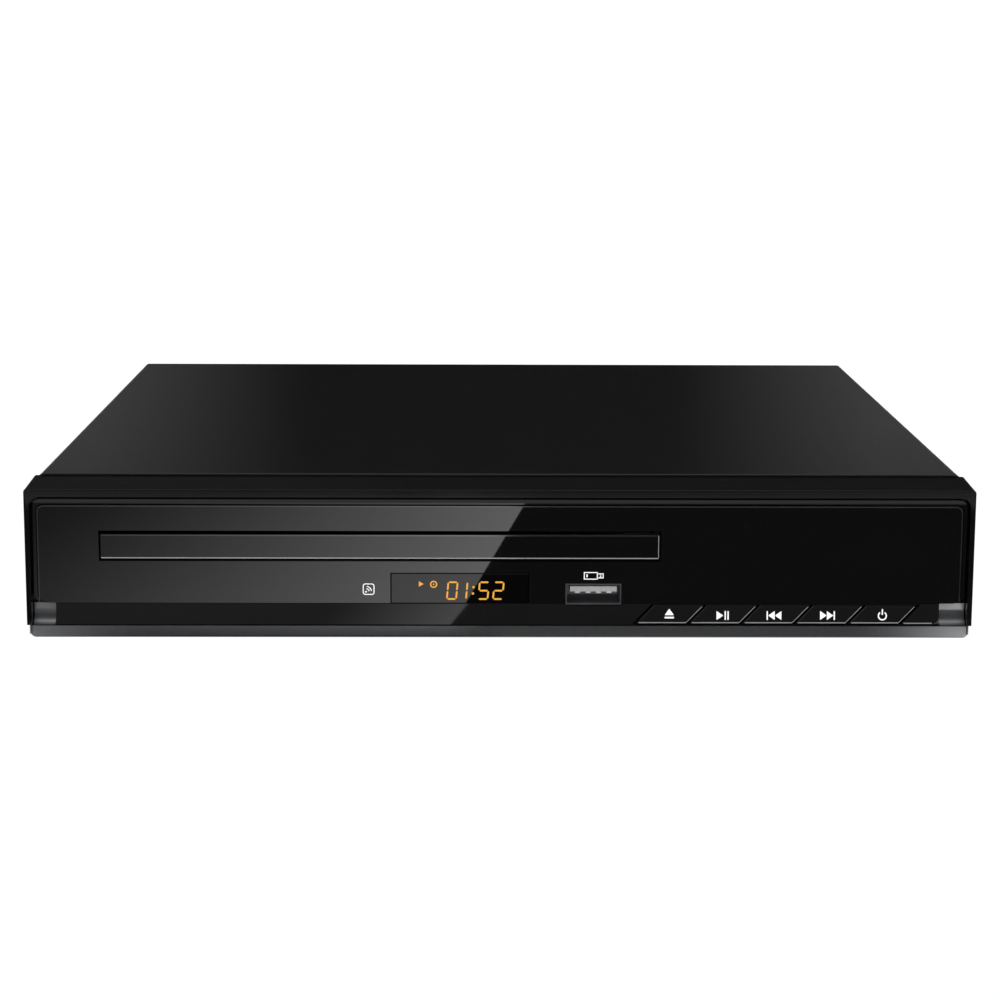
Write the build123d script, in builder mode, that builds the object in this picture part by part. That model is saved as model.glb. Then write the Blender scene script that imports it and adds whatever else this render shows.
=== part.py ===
"""Compact disc player with a motorised tray, built up piece by piece.

Millimetres. +Z is up, +Y points to the rear, +X to the right as seen from the front.
The origin lies on the floor, at the middle of the player's outline.
"""

import os
from math import acos, cos, pi, radians, sin, tan

from build123d import *

# Overall case
CASE_WIDTH = 225.0
CASE_HEIGHT = 41.4
CASE_DEPTH = 192.0
JACK_REACH = 8.0
SHEET = 0.8
COVER_INSET = 1.2
COVER_BEND = 1.4
COVER_EDGE = 0.2
FOOT_HEIGHT = 4.1
FOOT_DIAMETER = 14.0
FOOT_STUD = 5.0
FOOT_INSET_X = 22.0
FOOT_INSET_Y = 34.0
SIDE_FLANGE = 12.0
REAR_FLANGE = 6.5
LOW_FLANGE = 4.5
COVER_STEP = 0.5
COVER_SCREW_INSET = 40.0
COVER_SCREW_HEAD = 1.0
REAR_SCREW_SPACING = 80.0
VENT_COUNT = 12
VENT_PITCH = 5.0
VENT_WIDTH = 2.0
VENT_LENGTH = 14.0

# Gaps between neighbours
SEAT = 0.2
RUN = 0.35
SPIN = 0.05
EDGE_REACH = 1.0
PIN_ROOT = 1.0

# Front bezel, window and lower trim
BEZEL_DEPTH = 13.0
BEZEL_WALL = 2.0
CHEEK = 1.3
VISOR = 1.95
VISOR_SLOPE = 1.25
VISOR_ROUND = 0.4
SHOULDER_ROUND = 0.9
RECESS = 1.4
PANEL_THICKNESS = 2.0
PANEL_CORNER = 2.2
PANEL_BOTTOM = 12.3
WINDOW_HEAD_GAP = 0.7
PLATEAU_INSET = 1.3
PLATEAU_SIDE_INSET = 1.0
PLATEAU_RISE = 0.35
PLATEAU_BEVEL = 0.3
BORDER_BEVEL = 0.15
LIP_BOTTOM = 3.95
LIP_HEIGHT = 3.2
LIP_INSET = 0.6
LIP_ROUND = 1.6
COVE_DEPTH = 0.9
COVE_TOP_SETBACK = 0.7
FASCIA_LEFT_INSET = 5.55
FASCIA_RIGHT_INSET = 6.45
FASCIA_LEAN = 0.8
FASCIA_TOP_BAR = 0.2
FASCIA_SEAM = 0.08

# Keys on the fascia
KEY_COUNT = 5
KEY_PITCH_SHARE = 0.0564
KEY_GROOVE = 0.85
KEY_HEIGHT = 4.17
KEY_START_SHARE = 0.14413
KEY_PROUD = 0.25
KEY_EDGE = 0.1
KEY_TRAVEL = 0.5
KEY_STEM = 2.4
KEY_NAMES = ["eject_key", "play_pause_key", "previous_key", "next_key", "power_key"]
SWITCH_SIDE = 4.4
SWITCH_HEIGHT = 2.6
PLUNGER_DIAMETER = 2.0
PLUNGER_REACH = 1.2

# Display, receiver and memory socket
DISPLAY_START_SHARE = -0.1157
DISPLAY_WIDTH_SHARE = 0.1448
DISPLAY_HEIGHT = 7.2
RECEIVER_SHARE = -0.1391
RECEIVER_Z = 16.1
RECEIVER_SIDE = 6.0
MEMORY_SOCKET_SHARE = 0.09822
MEMORY_SOCKET_Z = 14.55
MEMORY_SOCKET_WIDTH = 13.3
MEMORY_SOCKET_HEIGHT = 5.1
MEMORY_SOCKET_SHELL = 0.35
TONGUE_WIDTH = 11.1
TONGUE_HEIGHT = 1.25
TONGUE_BASE = 1.7
CONTACT_COUNT = 4
CONTACT_PITCH = 2.5
CONTACT_WIDTH = 1.2
CONTACT_HEIGHT = 0.4
BOARD_THICKNESS = 1.6
FRONT_BOARD_SETBACK = 12.0
FRONT_BOARD_START_SHARE = -0.2133
FRONT_BOARD_INSET = 11.2
FRONT_BOARD_TOP = 21.0
BOSS_DIAMETER = 5.0
SCREW_DIAMETER = 2.2
SCREW_HEAD = 4.4
SCREW_HEAD_HEIGHT = 1.4

# Tray and its door
TRAY_OFFSET_SHARE = 0.6265
DOOR_WIDTH = 132.6
DOOR_HEIGHT = 5.9
DOOR_DROP = 0.3
DOOR_Z = 26.35
DOOR_EDGE = 0.15
DOOR_SILL_GAP = 0.65
DOOR_HEAD_GAP = 0.85
TRAY_WIDTH = 128.0
TRAY_HEIGHT = 5.2
TRAY_TAIL_SHARE = 0.31343
TRAY_FLOOR = 1.2
TRAY_FLOOR_RISE = 1.3
DISC_LIFT = 0.9
TRAY_TRAVEL = 110.0
DISC_RECESS = 121.0
DISC_STEP = 82.0
DISC_FRONT_RIM = 4.0
SLOT_WIDTH = 54.0

# Loader frame
LOADER_FRONT = 18.0
LOADER_WALL = 2.5
LOADER_LIP = 1.4
LOADER_LEDGE = 3.0
LOADER_PLATE = 2.0
LOADER_PLATE_Z = 13.4
LOADER_LEG = 8.0

# Gear trains
GEAR_MODULE = 1.0
TRAY_GEAR_TEETH = 24
PINION_TEETH = 10
GEAR_THICKNESS = 2.6
GEAR_POST = 3.0
BACKLASH = 0.16
ADDENDUM = 0.65
DEDENDUM = 1.0
PRESSURE_ANGLE = 20.0
FLANK_STEPS = 4
RACK_MARGIN = 5.0
RACK_BODY = 3.0
PULLEY_RADIUS = 13.0
PULLEY_THICKNESS = 3.0
MOTOR_PULLEY_RADIUS = 3.2
BELT_SECTION = 1.2
BELT_SPAN = 46.0
RACK_X = 55.6
GEAR_Y = 33.0
MOTOR_DIAMETER = 21.0
MOTOR_SHAFT = 1.5

# Traverse with spindle and pickup
TRAVERSE_WIDTH = 88.0
TRAVERSE_PLATE = 1.6
TRAVERSE_Z = 15.6
TRAVERSE_FRONT = 20.0
TRAVERSE_TAIL = 3.5
HINGE_PIN = 3.0
TILT_DEGREES = 4.0
CAM_TRAVEL = 16.0
CAM_PLATE = 2.0
CAM_RIM = 1.5
CAM_END = 6.0
CAM_FOOT = 5.0
CAM_FOOT_SHEET = 1.2
ROD_SUPPORT = 3.5
TURNTABLE_DIAMETER = 31.0
TURNTABLE_THICKNESS = 1.6
HUB_DIAMETER = 14.8
HUB_HEIGHT = 1.6
SPINDLE_CAN = 27.0
SPINDLE_SHAFT = 1.5
PICKUP_INNER = 24.0
PICKUP_STOP = 0.5
PICKUP_WIDTH = 40.0
PICKUP_LENGTH = 24.0
PICKUP_LEAD = 8.0
ROD_SPACING = 44.0
ROD_RISE = 3.2
BUSH_DIAMETER = 6.0
PICKUP_HEIGHT = 5.0
LENS_DIAMETER = 4.2
ROD_DIAMETER = 3.0
SLED_MODULE = 0.5
SLED_WHEEL_TEETH = 32
SLED_SMALL_TEETH = 14
SLED_PINION_TEETH = 10
SLED_GEAR_THICKNESS = 1.6
SLED_POST = 2.0
SLED_SHAFT = 1.2
SLED_BOSS = 3.6
SLED_RACK_X = 30.6
SLED_RACK_MARGIN = 3.0
SLED_RACK_BODY = 2.0
SLED_GEAR_Y = 37.0
SLED_MOTOR_HEIGHT = 7.0
SLED_MOTOR_DIAMETER = 15.0

# Clamp over the spindle
BRIDGE_WIDTH = 44.0
BRIDGE_SHEET = 1.0
CLAMP_DIAMETER = 30.0
CLAMP_NECK = 24.0
CLAMP_FLANGE = 1.2

# Boards and rear sockets
MAIN_BOARD_INSET = 4.3
MAIN_BOARD_OVERLAP = 8.0
MAIN_BOARD_SHARE = 0.7075
MAIN_BOARD_Z = 10.5
CABLE_ROOM = 9.05
POWER_BOARD_DEPTH = 118.0
POWER_BOARD_Z = 9.5
PILLAR_INSET = 4.0
AV_SOCKET_OFFSET = 44.0
AV_SOCKET_WIDTH = 47.0
AV_SOCKET_HEIGHT = 14.6
AV_SOCKET_DEPTH = 15.0
AV_FLANGE = 1.4
AV_PIN_COUNT = 10
AV_PIN_PITCH = 3.81
VIDEO_SOCKET_OFFSET = 92.0
VIDEO_SOCKET_WIDTH = 15.0
VIDEO_SOCKET_HEIGHT = 5.9
VIDEO_SOCKET_DEPTH = 11.0
VIDEO_SHELL = 0.45
JACK_OFFSET = 120.0
JACK_RADIUS = 4.15
JACK_HOLE = 1.7
JACK_BODY = 10.0
INLET_INSET = 2.5
INLET_Z = 20.4
INLET_WIDTH = 22.0
INLET_HEIGHT = 16.0
INLET_DEPTH = 16.0
INLET_FLANGE = 1.6
INLET_PIN = 2.4
INLET_PIN_SPACING = 8.6
INLET_CAVITY_HEIGHT = 8.2
INLET_CAVITY_WIDTH = 14.8

# Places worked out from the sizes
FRONT_Y = -(CASE_DEPTH + JACK_REACH) / 2
REAR_Y = FRONT_Y + CASE_DEPTH
BEZEL_BACK = FRONT_Y + BEZEL_DEPTH
PANEL_FRONT = FRONT_Y + RECESS
PANEL_BACK = PANEL_FRONT + PANEL_THICKNESS
WALL_BACK = PANEL_BACK + BEZEL_WALL
VISOR_BOTTOM = CASE_HEIGHT - VISOR_SLOPE - VISOR
CHEEK_BOTTOM = LIP_BOTTOM + LIP_HEIGHT
CHEEK_INSIDE = CASE_WIDTH / 2 - CHEEK
FASCIA_LEFT = FASCIA_LEFT_INSET - CHEEK_INSIDE
FASCIA_RIGHT = CHEEK_INSIDE - FASCIA_RIGHT_INSET
FASCIA_TOP = PANEL_BOTTOM - FASCIA_SEAM
FASCIA_BOTTOM = CHEEK_BOTTOM
COVER_HALF = CASE_WIDTH / 2 - COVER_INSET
COVER_FRONT = BEZEL_BACK
FLOOR_BOTTOM = FOOT_HEIGHT
FLOOR_TOP = FOOT_HEIGHT + SHEET
CHASSIS_HALF = COVER_HALF - SHEET - SEAT
CHASSIS_FRONT = BEZEL_BACK + SEAT
FRONT_BOARD_Y = FRONT_Y + FRONT_BOARD_SETBACK
TRAY_BOTTOM = DOOR_Z - TRAY_HEIGHT / 2
TRAY_TOP = DOOR_Z + TRAY_HEIGHT / 2
TRAY_FRONT = PANEL_BACK
DISC_REACH = DISC_FRONT_RIM + DISC_RECESS
TRAY_LENGTH = DISC_REACH + TRAY_TAIL_SHARE * (CASE_DEPTH - DISC_REACH)
TRAY_BACK = TRAY_FRONT + TRAY_LENGTH
TRAY_HALF = TRAY_WIDTH / 2
RECESS_FLOOR = TRAY_BOTTOM + TRAY_FLOOR_RISE + TRAY_FLOOR
DISC_Y = TRAY_FRONT + DISC_FRONT_RIM + DISC_RECESS / 2
LOADER_Y = FRONT_Y + LOADER_FRONT
LOADER_BACK = TRAY_BACK + SEAT
LOADER_INSIDE = TRAY_HALF + RUN
LOADER_OUTSIDE = LOADER_INSIDE + LOADER_WALL
TRAY_X = -TRAY_OFFSET_SHARE * (CASE_WIDTH / 2 - LOADER_OUTSIDE)
LOADER_RIGHT = TRAY_X + LOADER_OUTSIDE
LOADER_TOP = TRAY_TOP + RUN + LOADER_LIP
PLATE_TOP = LOADER_PLATE_Z + LOADER_PLATE


def block(x, y, z, mode=Mode.ADD):
    """Box between the pairs of limits x, y and z, added to the open part."""
    middle = [(limits[0] + limits[1]) / 2 for limits in (x, y, z)]
    with Locations(tuple(middle)):
        Box(x[1] - x[0], y[1] - y[0], z[1] - z[0], mode=mode)


def post(x, y, z, diameter, mode=Mode.ADD):
    """Upright round post at x, y between the limits z."""
    with Locations((x, y, (z[0] + z[1]) / 2)):
        Cylinder(diameter / 2, z[1] - z[0], mode=mode)


def rod(x, y, z, diameter, mode=Mode.ADD):
    """Round rod along Y at x, z between the limits y."""
    with Locations(Location((x, (y[0] + y[1]) / 2, z), (90, 0, 0))):
        Cylinder(diameter / 2, y[1] - y[0], mode=mode)


def crossbar(x, y, z, diameter, mode=Mode.ADD):
    """Round rod along X at y, z between the limits x."""
    with Locations(Location(((x[0] + x[1]) / 2, y, z), (0, 90, 0))):
        Cylinder(diameter / 2, x[1] - x[0], mode=mode)


def around(middle, width):
    """Pair of limits of that width about a middle."""
    return (middle - width / 2, middle + width / 2)


def save(part, name):
    """Labels a finished piece and writes it under that name."""
    part.label = name
    export_step(part, f"parts/{name}.step")


os.makedirs("parts", exist_ok=True)

# Openings shared by the window, the bezel wall and the fascia
MOUTH_X = around(TRAY_X, DOOR_WIDTH + 2 * RUN)
MOUTH_Z = around(DOOR_Z, DOOR_HEIGHT + 2 * RUN)
DOOR_LIMITS = around(DOOR_Z - DOOR_DROP, DOOR_HEIGHT)
WINDOW_MOUTH_Z = (DOOR_LIMITS[0] - DOOR_SILL_GAP, DOOR_LIMITS[1] + DOOR_HEAD_GAP)
DISPLAY_LEFT = DISPLAY_START_SHARE * CASE_WIDTH
DISPLAY_X = (DISPLAY_LEFT, DISPLAY_LEFT + DISPLAY_WIDTH_SHARE * CASE_WIDTH)
DISPLAY_Z = (PANEL_BOTTOM, PANEL_BOTTOM + DISPLAY_HEIGHT)
DISPLAY_OPENING_X = (DISPLAY_X[0] - SEAT, DISPLAY_X[1] + SEAT)
DISPLAY_OPENING_Z = (DISPLAY_Z[0] - SEAT, DISPLAY_Z[1] + SEAT)
RECEIVER_X = RECEIVER_SHARE * CASE_WIDTH
MEMORY_SOCKET_X = MEMORY_SOCKET_SHARE * CASE_WIDTH
MEMORY_X = around(MEMORY_SOCKET_X, MEMORY_SOCKET_WIDTH)
MEMORY_Z = around(MEMORY_SOCKET_Z, MEMORY_SOCKET_HEIGHT)
MEMORY_OPENING_X = (MEMORY_X[0] - SEAT, MEMORY_X[1] + SEAT)
MEMORY_OPENING_Z = (MEMORY_Z[0] - SEAT, MEMORY_Z[1] + SEAT)
KEY_TOP = FASCIA_TOP - FASCIA_TOP_BAR - SEAT
KEY_BOTTOM = KEY_TOP - KEY_HEIGHT
KEY_PITCH = KEY_PITCH_SHARE * CASE_WIDTH
KEY_FIRST_LEFT = KEY_START_SHARE * CASE_WIDTH
KEY_WIDTH = KEY_PITCH - KEY_GROOVE
KEY_BACK = PANEL_BACK - KEY_TRAVEL - RUN
KEY_Z = (KEY_TOP + KEY_BOTTOM) / 2
KEY_LEFTS = [KEY_FIRST_LEFT + index * KEY_PITCH for index in range(KEY_COUNT)]
KEY_MIDDLES = [left + (KEY_WIDTH + KEY_HEIGHT) / 2 for left in KEY_LEFTS]
SWITCH_FRONT = FRONT_BOARD_Y - SWITCH_HEIGHT
PLUNGER_FRONT = SWITCH_FRONT - PLUNGER_REACH
PLUNGER_TAIL = SWITCH_FRONT + SWITCH_HEIGHT / 3
STEM_HOLE = KEY_STEM + 2 * RUN
FRONT_BOARD_LEFT = FRONT_BOARD_START_SHARE * CASE_WIDTH
FRONT_BOARD_RIGHT = CHEEK_INSIDE - FRONT_BOARD_INSET
BOSS_PLACES = [
    (FRONT_BOARD_LEFT + BOSS_DIAMETER, FRONT_BOARD_TOP - BOSS_DIAMETER),
    ((DISPLAY_X[1] + MEMORY_X[0]) / 2, FRONT_BOARD_TOP - BOSS_DIAMETER),
    (FRONT_BOARD_RIGHT - BOSS_DIAMETER, FRONT_BOARD_TOP - BOSS_DIAMETER),
]
TAB_REACH = 9.0
TAB_WIDTH = 18.0
TAB_PLACES = [-CASE_WIDTH / 3, 0.0, CASE_WIDTH / 3]

# Front bezel: visor, cheeks, wall behind the window and three tabs that rest on the chassis floor
with BuildPart() as front_bezel:
    with BuildSketch(Plane.YZ):
        with BuildLine():
            Polyline(
                (FRONT_Y, CHEEK_BOTTOM),
                (FRONT_Y, CASE_HEIGHT - VISOR_SLOPE),
                (BEZEL_BACK, CASE_HEIGHT - COVER_STEP),
                (BEZEL_BACK, FLOOR_BOTTOM),
                (PANEL_BACK, FLOOR_BOTTOM),
                (PANEL_BACK, CHEEK_BOTTOM),
                close=True,
            )
        make_face()
    extrude(amount=CASE_WIDTH / 2, both=True)
    shoulders = front_bezel.edges().filter_by_position(Axis.X, *around(CASE_WIDTH / 2, 2 * EDGE_REACH))
    shoulders += front_bezel.edges().filter_by_position(Axis.X, *around(-CASE_WIDTH / 2, 2 * EDGE_REACH))
    shoulders = shoulders.filter_by_position(Axis.Z, CASE_HEIGHT - VISOR_SLOPE, CASE_HEIGHT)
    fillet(shoulders.filter_by(lambda edge: edge.length > BEZEL_DEPTH - EDGE_REACH), radius=SHOULDER_ROUND)
    brow = front_bezel.edges().filter_by(Axis.X)
    brow = brow.filter_by_position(Axis.Z, *around(CASE_HEIGHT - VISOR_SLOPE, 2 * SPIN))
    fillet(brow, radius=VISOR_ROUND)
    with BuildSketch(Plane.XZ.offset(-FRONT_Y)):
        with Locations((0, (VISOR_BOTTOM + FLOOR_BOTTOM) / 2)):
            Rectangle(2 * CHEEK_INSIDE, VISOR_BOTTOM - FLOOR_BOTTOM)
        corners = vertices().sort_by(Axis.Y)[-2:]
        fillet(corners, radius=PANEL_CORNER)
    extrude(amount=-(PANEL_BACK - FRONT_Y), mode=Mode.SUBTRACT)
    block(
        (-CHEEK_INSIDE, CHEEK_INSIDE),
        (WALL_BACK, BEZEL_BACK),
        (CHEEK_BOTTOM, VISOR_BOTTOM),
        mode=Mode.SUBTRACT,
    )
    for tab_x in TAB_PLACES:
        block(around(tab_x, TAB_WIDTH), (WALL_BACK, BEZEL_BACK + TAB_REACH), (FLOOR_TOP, CHEEK_BOTTOM))
    block(MOUTH_X, (PANEL_BACK, WALL_BACK), MOUTH_Z, mode=Mode.SUBTRACT)
    block(DISPLAY_OPENING_X, (PANEL_BACK, WALL_BACK), DISPLAY_OPENING_Z, mode=Mode.SUBTRACT)
    block(MEMORY_OPENING_X, (PANEL_BACK, WALL_BACK), MEMORY_OPENING_Z, mode=Mode.SUBTRACT)
    rod(RECEIVER_X, (PANEL_BACK, WALL_BACK), RECEIVER_Z, RECEIVER_SIDE - 2 * SEAT, mode=Mode.SUBTRACT)
    for key_x in KEY_MIDDLES:
        rod(key_x, (PANEL_BACK, WALL_BACK), KEY_Z, STEM_HOLE, mode=Mode.SUBTRACT)
    for boss_x, boss_z in BOSS_PLACES:
        rod(boss_x, (WALL_BACK, FRONT_BOARD_Y), boss_z, BOSS_DIAMETER)
        rod(boss_x, (WALL_BACK, FRONT_BOARD_Y), boss_z, SCREW_DIAMETER, mode=Mode.SUBTRACT)
save(front_bezel.part, "front_bezel")

# Window panel: a bevelled border with a raised flat window, open for tray, display and memory socket
PANEL_HALF = CHEEK_INSIDE - SEAT
PANEL_TOP = VISOR_BOTTOM - WINDOW_HEAD_GAP
PANEL_MIDDLE = (PANEL_TOP + PANEL_BOTTOM) / 2
PANEL_TALL = PANEL_TOP - PANEL_BOTTOM
BORDER_FRONT = PANEL_FRONT + PLATEAU_RISE
with BuildPart() as window_panel:
    with BuildSketch(Plane.XZ.offset(-BORDER_FRONT)):
        with Locations((0, PANEL_MIDDLE)):
            RectangleRounded(2 * PANEL_HALF, PANEL_TALL, PANEL_CORNER - SEAT)
    extrude(amount=-(PANEL_BACK - BORDER_FRONT))
    border = window_panel.faces().sort_by(Axis.Y)[0].edges()
    chamfer(border, length=BORDER_BEVEL)
    with BuildSketch(Plane.XZ.offset(-PANEL_FRONT)):
        with Locations((0, PANEL_MIDDLE - PLATEAU_INSET / 2)):
            RectangleRounded(
                2 * (PANEL_HALF - PLATEAU_SIDE_INSET),
                PANEL_TALL - PLATEAU_INSET,
                PANEL_CORNER - 2 * SEAT,
            )
    extrude(amount=-(PANEL_THICKNESS / 2))
    chamfer(window_panel.faces().sort_by(Axis.Y)[0].edges(), length=PLATEAU_BEVEL)
    square_foot = (PANEL_BOTTOM, PANEL_BOTTOM + PLATEAU_BEVEL)
    block(around(0, 2 * (PANEL_HALF - PANEL_CORNER) - EDGE_REACH), (PANEL_FRONT, PANEL_BACK), square_foot)
    block(MOUTH_X, (FRONT_Y, PANEL_BACK), WINDOW_MOUTH_Z, mode=Mode.SUBTRACT)
    block(DISPLAY_OPENING_X, (FRONT_Y, PANEL_BACK), DISPLAY_OPENING_Z, mode=Mode.SUBTRACT)
    block(MEMORY_OPENING_X, (FRONT_Y, PANEL_BACK), MEMORY_OPENING_Z, mode=Mode.SUBTRACT)
save(window_panel.part, "window_panel")

# Display lens: smoked insert held by a flange behind the window
with BuildPart() as display_lens:
    block(DISPLAY_X, (PANEL_FRONT, PANEL_BACK), DISPLAY_Z)
    front_edges = display_lens.faces().sort_by(Axis.Y)[0].edges()
    chamfer(front_edges, length=KEY_EDGE)
save(display_lens.part, "display_lens")

# Lower trim: lip along the whole foot of the bezel and a cove block at each end of the fascia
LIP_HALF = CASE_WIDTH / 2 - LIP_INSET
COVE_TOP_Y = PANEL_FRONT + COVE_TOP_SETBACK
with BuildPart() as lower_trim:
    with BuildSketch(Plane.XZ.offset(-FRONT_Y)):
        with Locations((0, LIP_BOTTOM + LIP_HEIGHT / 2)):
            Rectangle(2 * LIP_HALF, LIP_HEIGHT - SEAT)
        fillet(vertices().sort_by(Axis.Y)[0:2], radius=LIP_ROUND)
    extrude(amount=-(PANEL_BACK - FRONT_Y))
    lip_front = lower_trim.faces().sort_by(Axis.Y)[0].edges()
    lip_front = lip_front.filter_by_position(Axis.Z, 0, CHEEK_BOTTOM - EDGE_REACH)
    fillet(lip_front, radius=LIP_HEIGHT / 4)
    for side, inner in ((-1, FASCIA_LEFT), (1, FASCIA_RIGHT)):
        outer = side * (CHEEK_INSIDE - SEAT)
        reach = abs(outer - inner) - SEAT
        with BuildSketch(Plane.YZ.offset(outer)):
            with BuildLine():
                Polyline(
                    (COVE_TOP_Y, FASCIA_TOP),
                    (PANEL_BACK, FASCIA_TOP),
                    (PANEL_BACK, LIP_BOTTOM + LIP_ROUND),
                    (FRONT_Y + LIP_HEIGHT / 4, LIP_BOTTOM + LIP_ROUND),
                    (FRONT_Y + LIP_HEIGHT / 4, CHEEK_BOTTOM),
                )
                ThreePointArc(
                    (FRONT_Y + LIP_HEIGHT / 4, CHEEK_BOTTOM),
                    (COVE_TOP_Y + COVE_DEPTH / 2, (CHEEK_BOTTOM + FASCIA_TOP) / 2 + COVE_DEPTH / 2),
                    (COVE_TOP_Y, FASCIA_TOP),
                )
            make_face()
        extrude(amount=-side * reach)
save(lower_trim.part, "lower_trim")

# Key fascia: leaning strip under the window, cut away below its top bar where the keys sit
KEYWAY_LEFT = KEY_LEFTS[0] - KEY_GROOVE
KEYWAY_RIGHT = KEY_LEFTS[-1] + KEY_PITCH
KEYWAY_TOP = KEY_TOP + SEAT
FASCIA_TOP_Y = PANEL_FRONT
FASCIA_BOTTOM_Y = PANEL_FRONT - FASCIA_LEAN


def fascia_face(height):
    """Y of the fascia's leaning face at that height."""
    part_way = (height - FASCIA_BOTTOM) / (FASCIA_TOP - FASCIA_BOTTOM)
    return FASCIA_BOTTOM_Y + part_way * (FASCIA_TOP_Y - FASCIA_BOTTOM_Y)


with BuildPart() as key_fascia:
    with BuildSketch(Plane.YZ.offset(FASCIA_LEFT)):
        with BuildLine():
            Polyline(
                (FASCIA_TOP_Y, FASCIA_TOP),
                (PANEL_BACK, FASCIA_TOP),
                (PANEL_BACK, FASCIA_BOTTOM),
                (FASCIA_BOTTOM_Y, FASCIA_BOTTOM),
                close=True,
            )
        make_face()
    extrude(amount=FASCIA_RIGHT - FASCIA_LEFT)
    rims = key_fascia.edges().filter_by(Axis.X).sort_by(Axis.Y)
    chamfer(rims[0:2], length=KEY_EDGE)
    with BuildSketch(Plane.XZ.offset(-FRONT_Y)):
        with BuildLine():
            Polyline(
                (KEYWAY_LEFT, KEY_BOTTOM),
                (KEYWAY_LEFT + KEYWAY_TOP - KEY_BOTTOM, KEYWAY_TOP),
                (KEYWAY_RIGHT + KEYWAY_TOP - KEY_BOTTOM, KEYWAY_TOP),
                (KEYWAY_RIGHT, KEY_BOTTOM),
                (KEYWAY_RIGHT, FLOOR_BOTTOM),
                (KEYWAY_LEFT, FLOOR_BOTTOM),
                close=True,
            )
        make_face()
    extrude(amount=-(PANEL_BACK - FRONT_Y), mode=Mode.SUBTRACT)
    block(MEMORY_OPENING_X, (FRONT_Y, PANEL_BACK), MEMORY_OPENING_Z, mode=Mode.SUBTRACT)
save(key_fascia.part, "key_fascia")

# Five keys with slanted ends, each on a stem that reaches into its switch
for key_name, key_left, key_x in zip(KEY_NAMES, KEY_LEFTS, KEY_MIDDLES):
    with BuildPart() as key:
        with BuildSketch(Plane.XZ.offset(-KEY_BACK)):
            with BuildLine():
                Polyline(
                    (key_left, KEY_BOTTOM),
                    (key_left + KEY_HEIGHT, KEY_TOP),
                    (key_left + KEY_HEIGHT + KEY_WIDTH, KEY_TOP),
                    (key_left + KEY_WIDTH, KEY_BOTTOM),
                    close=True,
                )
            make_face()
        extrude(amount=KEY_BACK - FRONT_Y)
        with BuildSketch(Plane.YZ.offset(key_left)):
            with BuildLine():
                Polyline(
                    (fascia_face(KEY_TOP) - KEY_PROUD, KEY_TOP),
                    (fascia_face(KEY_BOTTOM) - KEY_PROUD, KEY_BOTTOM),
                    (FRONT_Y - EDGE_REACH, KEY_BOTTOM),
                    (FRONT_Y - EDGE_REACH, KEY_TOP),
                    close=True,
                )
            make_face()
        extrude(amount=KEY_PITCH + KEY_HEIGHT, mode=Mode.SUBTRACT)
        chamfer(key.faces().sort_by(Axis.Y)[0].edges(), length=KEY_EDGE)
        rod(key_x, (KEY_BACK, PLUNGER_FRONT), KEY_Z, KEY_STEM)
        rod(key_x, (PLUNGER_FRONT, PLUNGER_TAIL), KEY_Z, PLUNGER_DIAMETER)
    save(key.part, key_name)

# Front board behind the window, screwed to the bezel's bosses
FRONT_BOARD_BACK = FRONT_BOARD_Y + BOARD_THICKNESS
FRONT_BOARD_Z = (CHEEK_BOTTOM + SEAT, FRONT_BOARD_TOP)
SHANK = SCREW_DIAMETER - SEAT
with BuildPart() as front_board:
    block((FRONT_BOARD_LEFT, FRONT_BOARD_RIGHT), (FRONT_BOARD_Y, FRONT_BOARD_BACK), FRONT_BOARD_Z)
    for boss_x, boss_z in BOSS_PLACES:
        rod(boss_x, (FRONT_BOARD_Y, FRONT_BOARD_BACK), boss_z, SCREW_DIAMETER + SEAT, mode=Mode.SUBTRACT)
save(front_board.part, "front_board")

# Push switches, each with a bore for the end of its key's stem
with BuildPart() as key_switches:
    for key_x in KEY_MIDDLES:
        block(around(key_x, SWITCH_SIDE), (SWITCH_FRONT, FRONT_BOARD_Y), around(KEY_Z, SWITCH_SIDE))
        rod(
            key_x,
            (SWITCH_FRONT, PLUNGER_TAIL + KEY_TRAVEL + RUN),
            KEY_Z,
            PLUNGER_DIAMETER + 4 * SPIN,
            mode=Mode.SUBTRACT,
        )
save(key_switches.part, "key_switches")

# Display module and infrared receiver on the front board
with BuildPart() as display_module:
    block(
        (DISPLAY_X[0] + SEAT, DISPLAY_X[1] - SEAT),
        (PANEL_BACK + SEAT, FRONT_BOARD_Y),
        (DISPLAY_Z[0] + SEAT, DISPLAY_Z[1] - SEAT),
    )
save(display_module.part, "display_module")

with BuildPart() as infrared_receiver:
    block(
        around(RECEIVER_X, RECEIVER_SIDE),
        (WALL_BACK + SEAT, FRONT_BOARD_Y),
        around(RECEIVER_Z, RECEIVER_SIDE),
    )
    with Locations((RECEIVER_X, WALL_BACK + SEAT, RECEIVER_Z)):
        Sphere(RECEIVER_SIDE / 3)
save(infrared_receiver.part, "infrared_receiver")

# Memory socket: folded shell, insulating tongue and four contacts
SOCKET_MOUTH = PANEL_FRONT - SEAT / 2
CAVITY_X = (MEMORY_X[0] + MEMORY_SOCKET_SHELL, MEMORY_X[1] - MEMORY_SOCKET_SHELL)
CAVITY_Z = (MEMORY_Z[0] + MEMORY_SOCKET_SHELL, MEMORY_Z[1] - MEMORY_SOCKET_SHELL)
TONGUE_TOP = CAVITY_Z[1] - MEMORY_SOCKET_SHELL
TONGUE_Z = (TONGUE_TOP - TONGUE_HEIGHT, TONGUE_TOP)
TONGUE_ROOT = FRONT_BOARD_Y - TONGUE_BASE
with BuildPart() as memory_socket_shell:
    block(MEMORY_X, (SOCKET_MOUTH, FRONT_BOARD_Y), MEMORY_Z)
    block(CAVITY_X, (SOCKET_MOUTH, FRONT_BOARD_Y), CAVITY_Z, mode=Mode.SUBTRACT)
save(memory_socket_shell.part, "memory_socket_shell")

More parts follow.
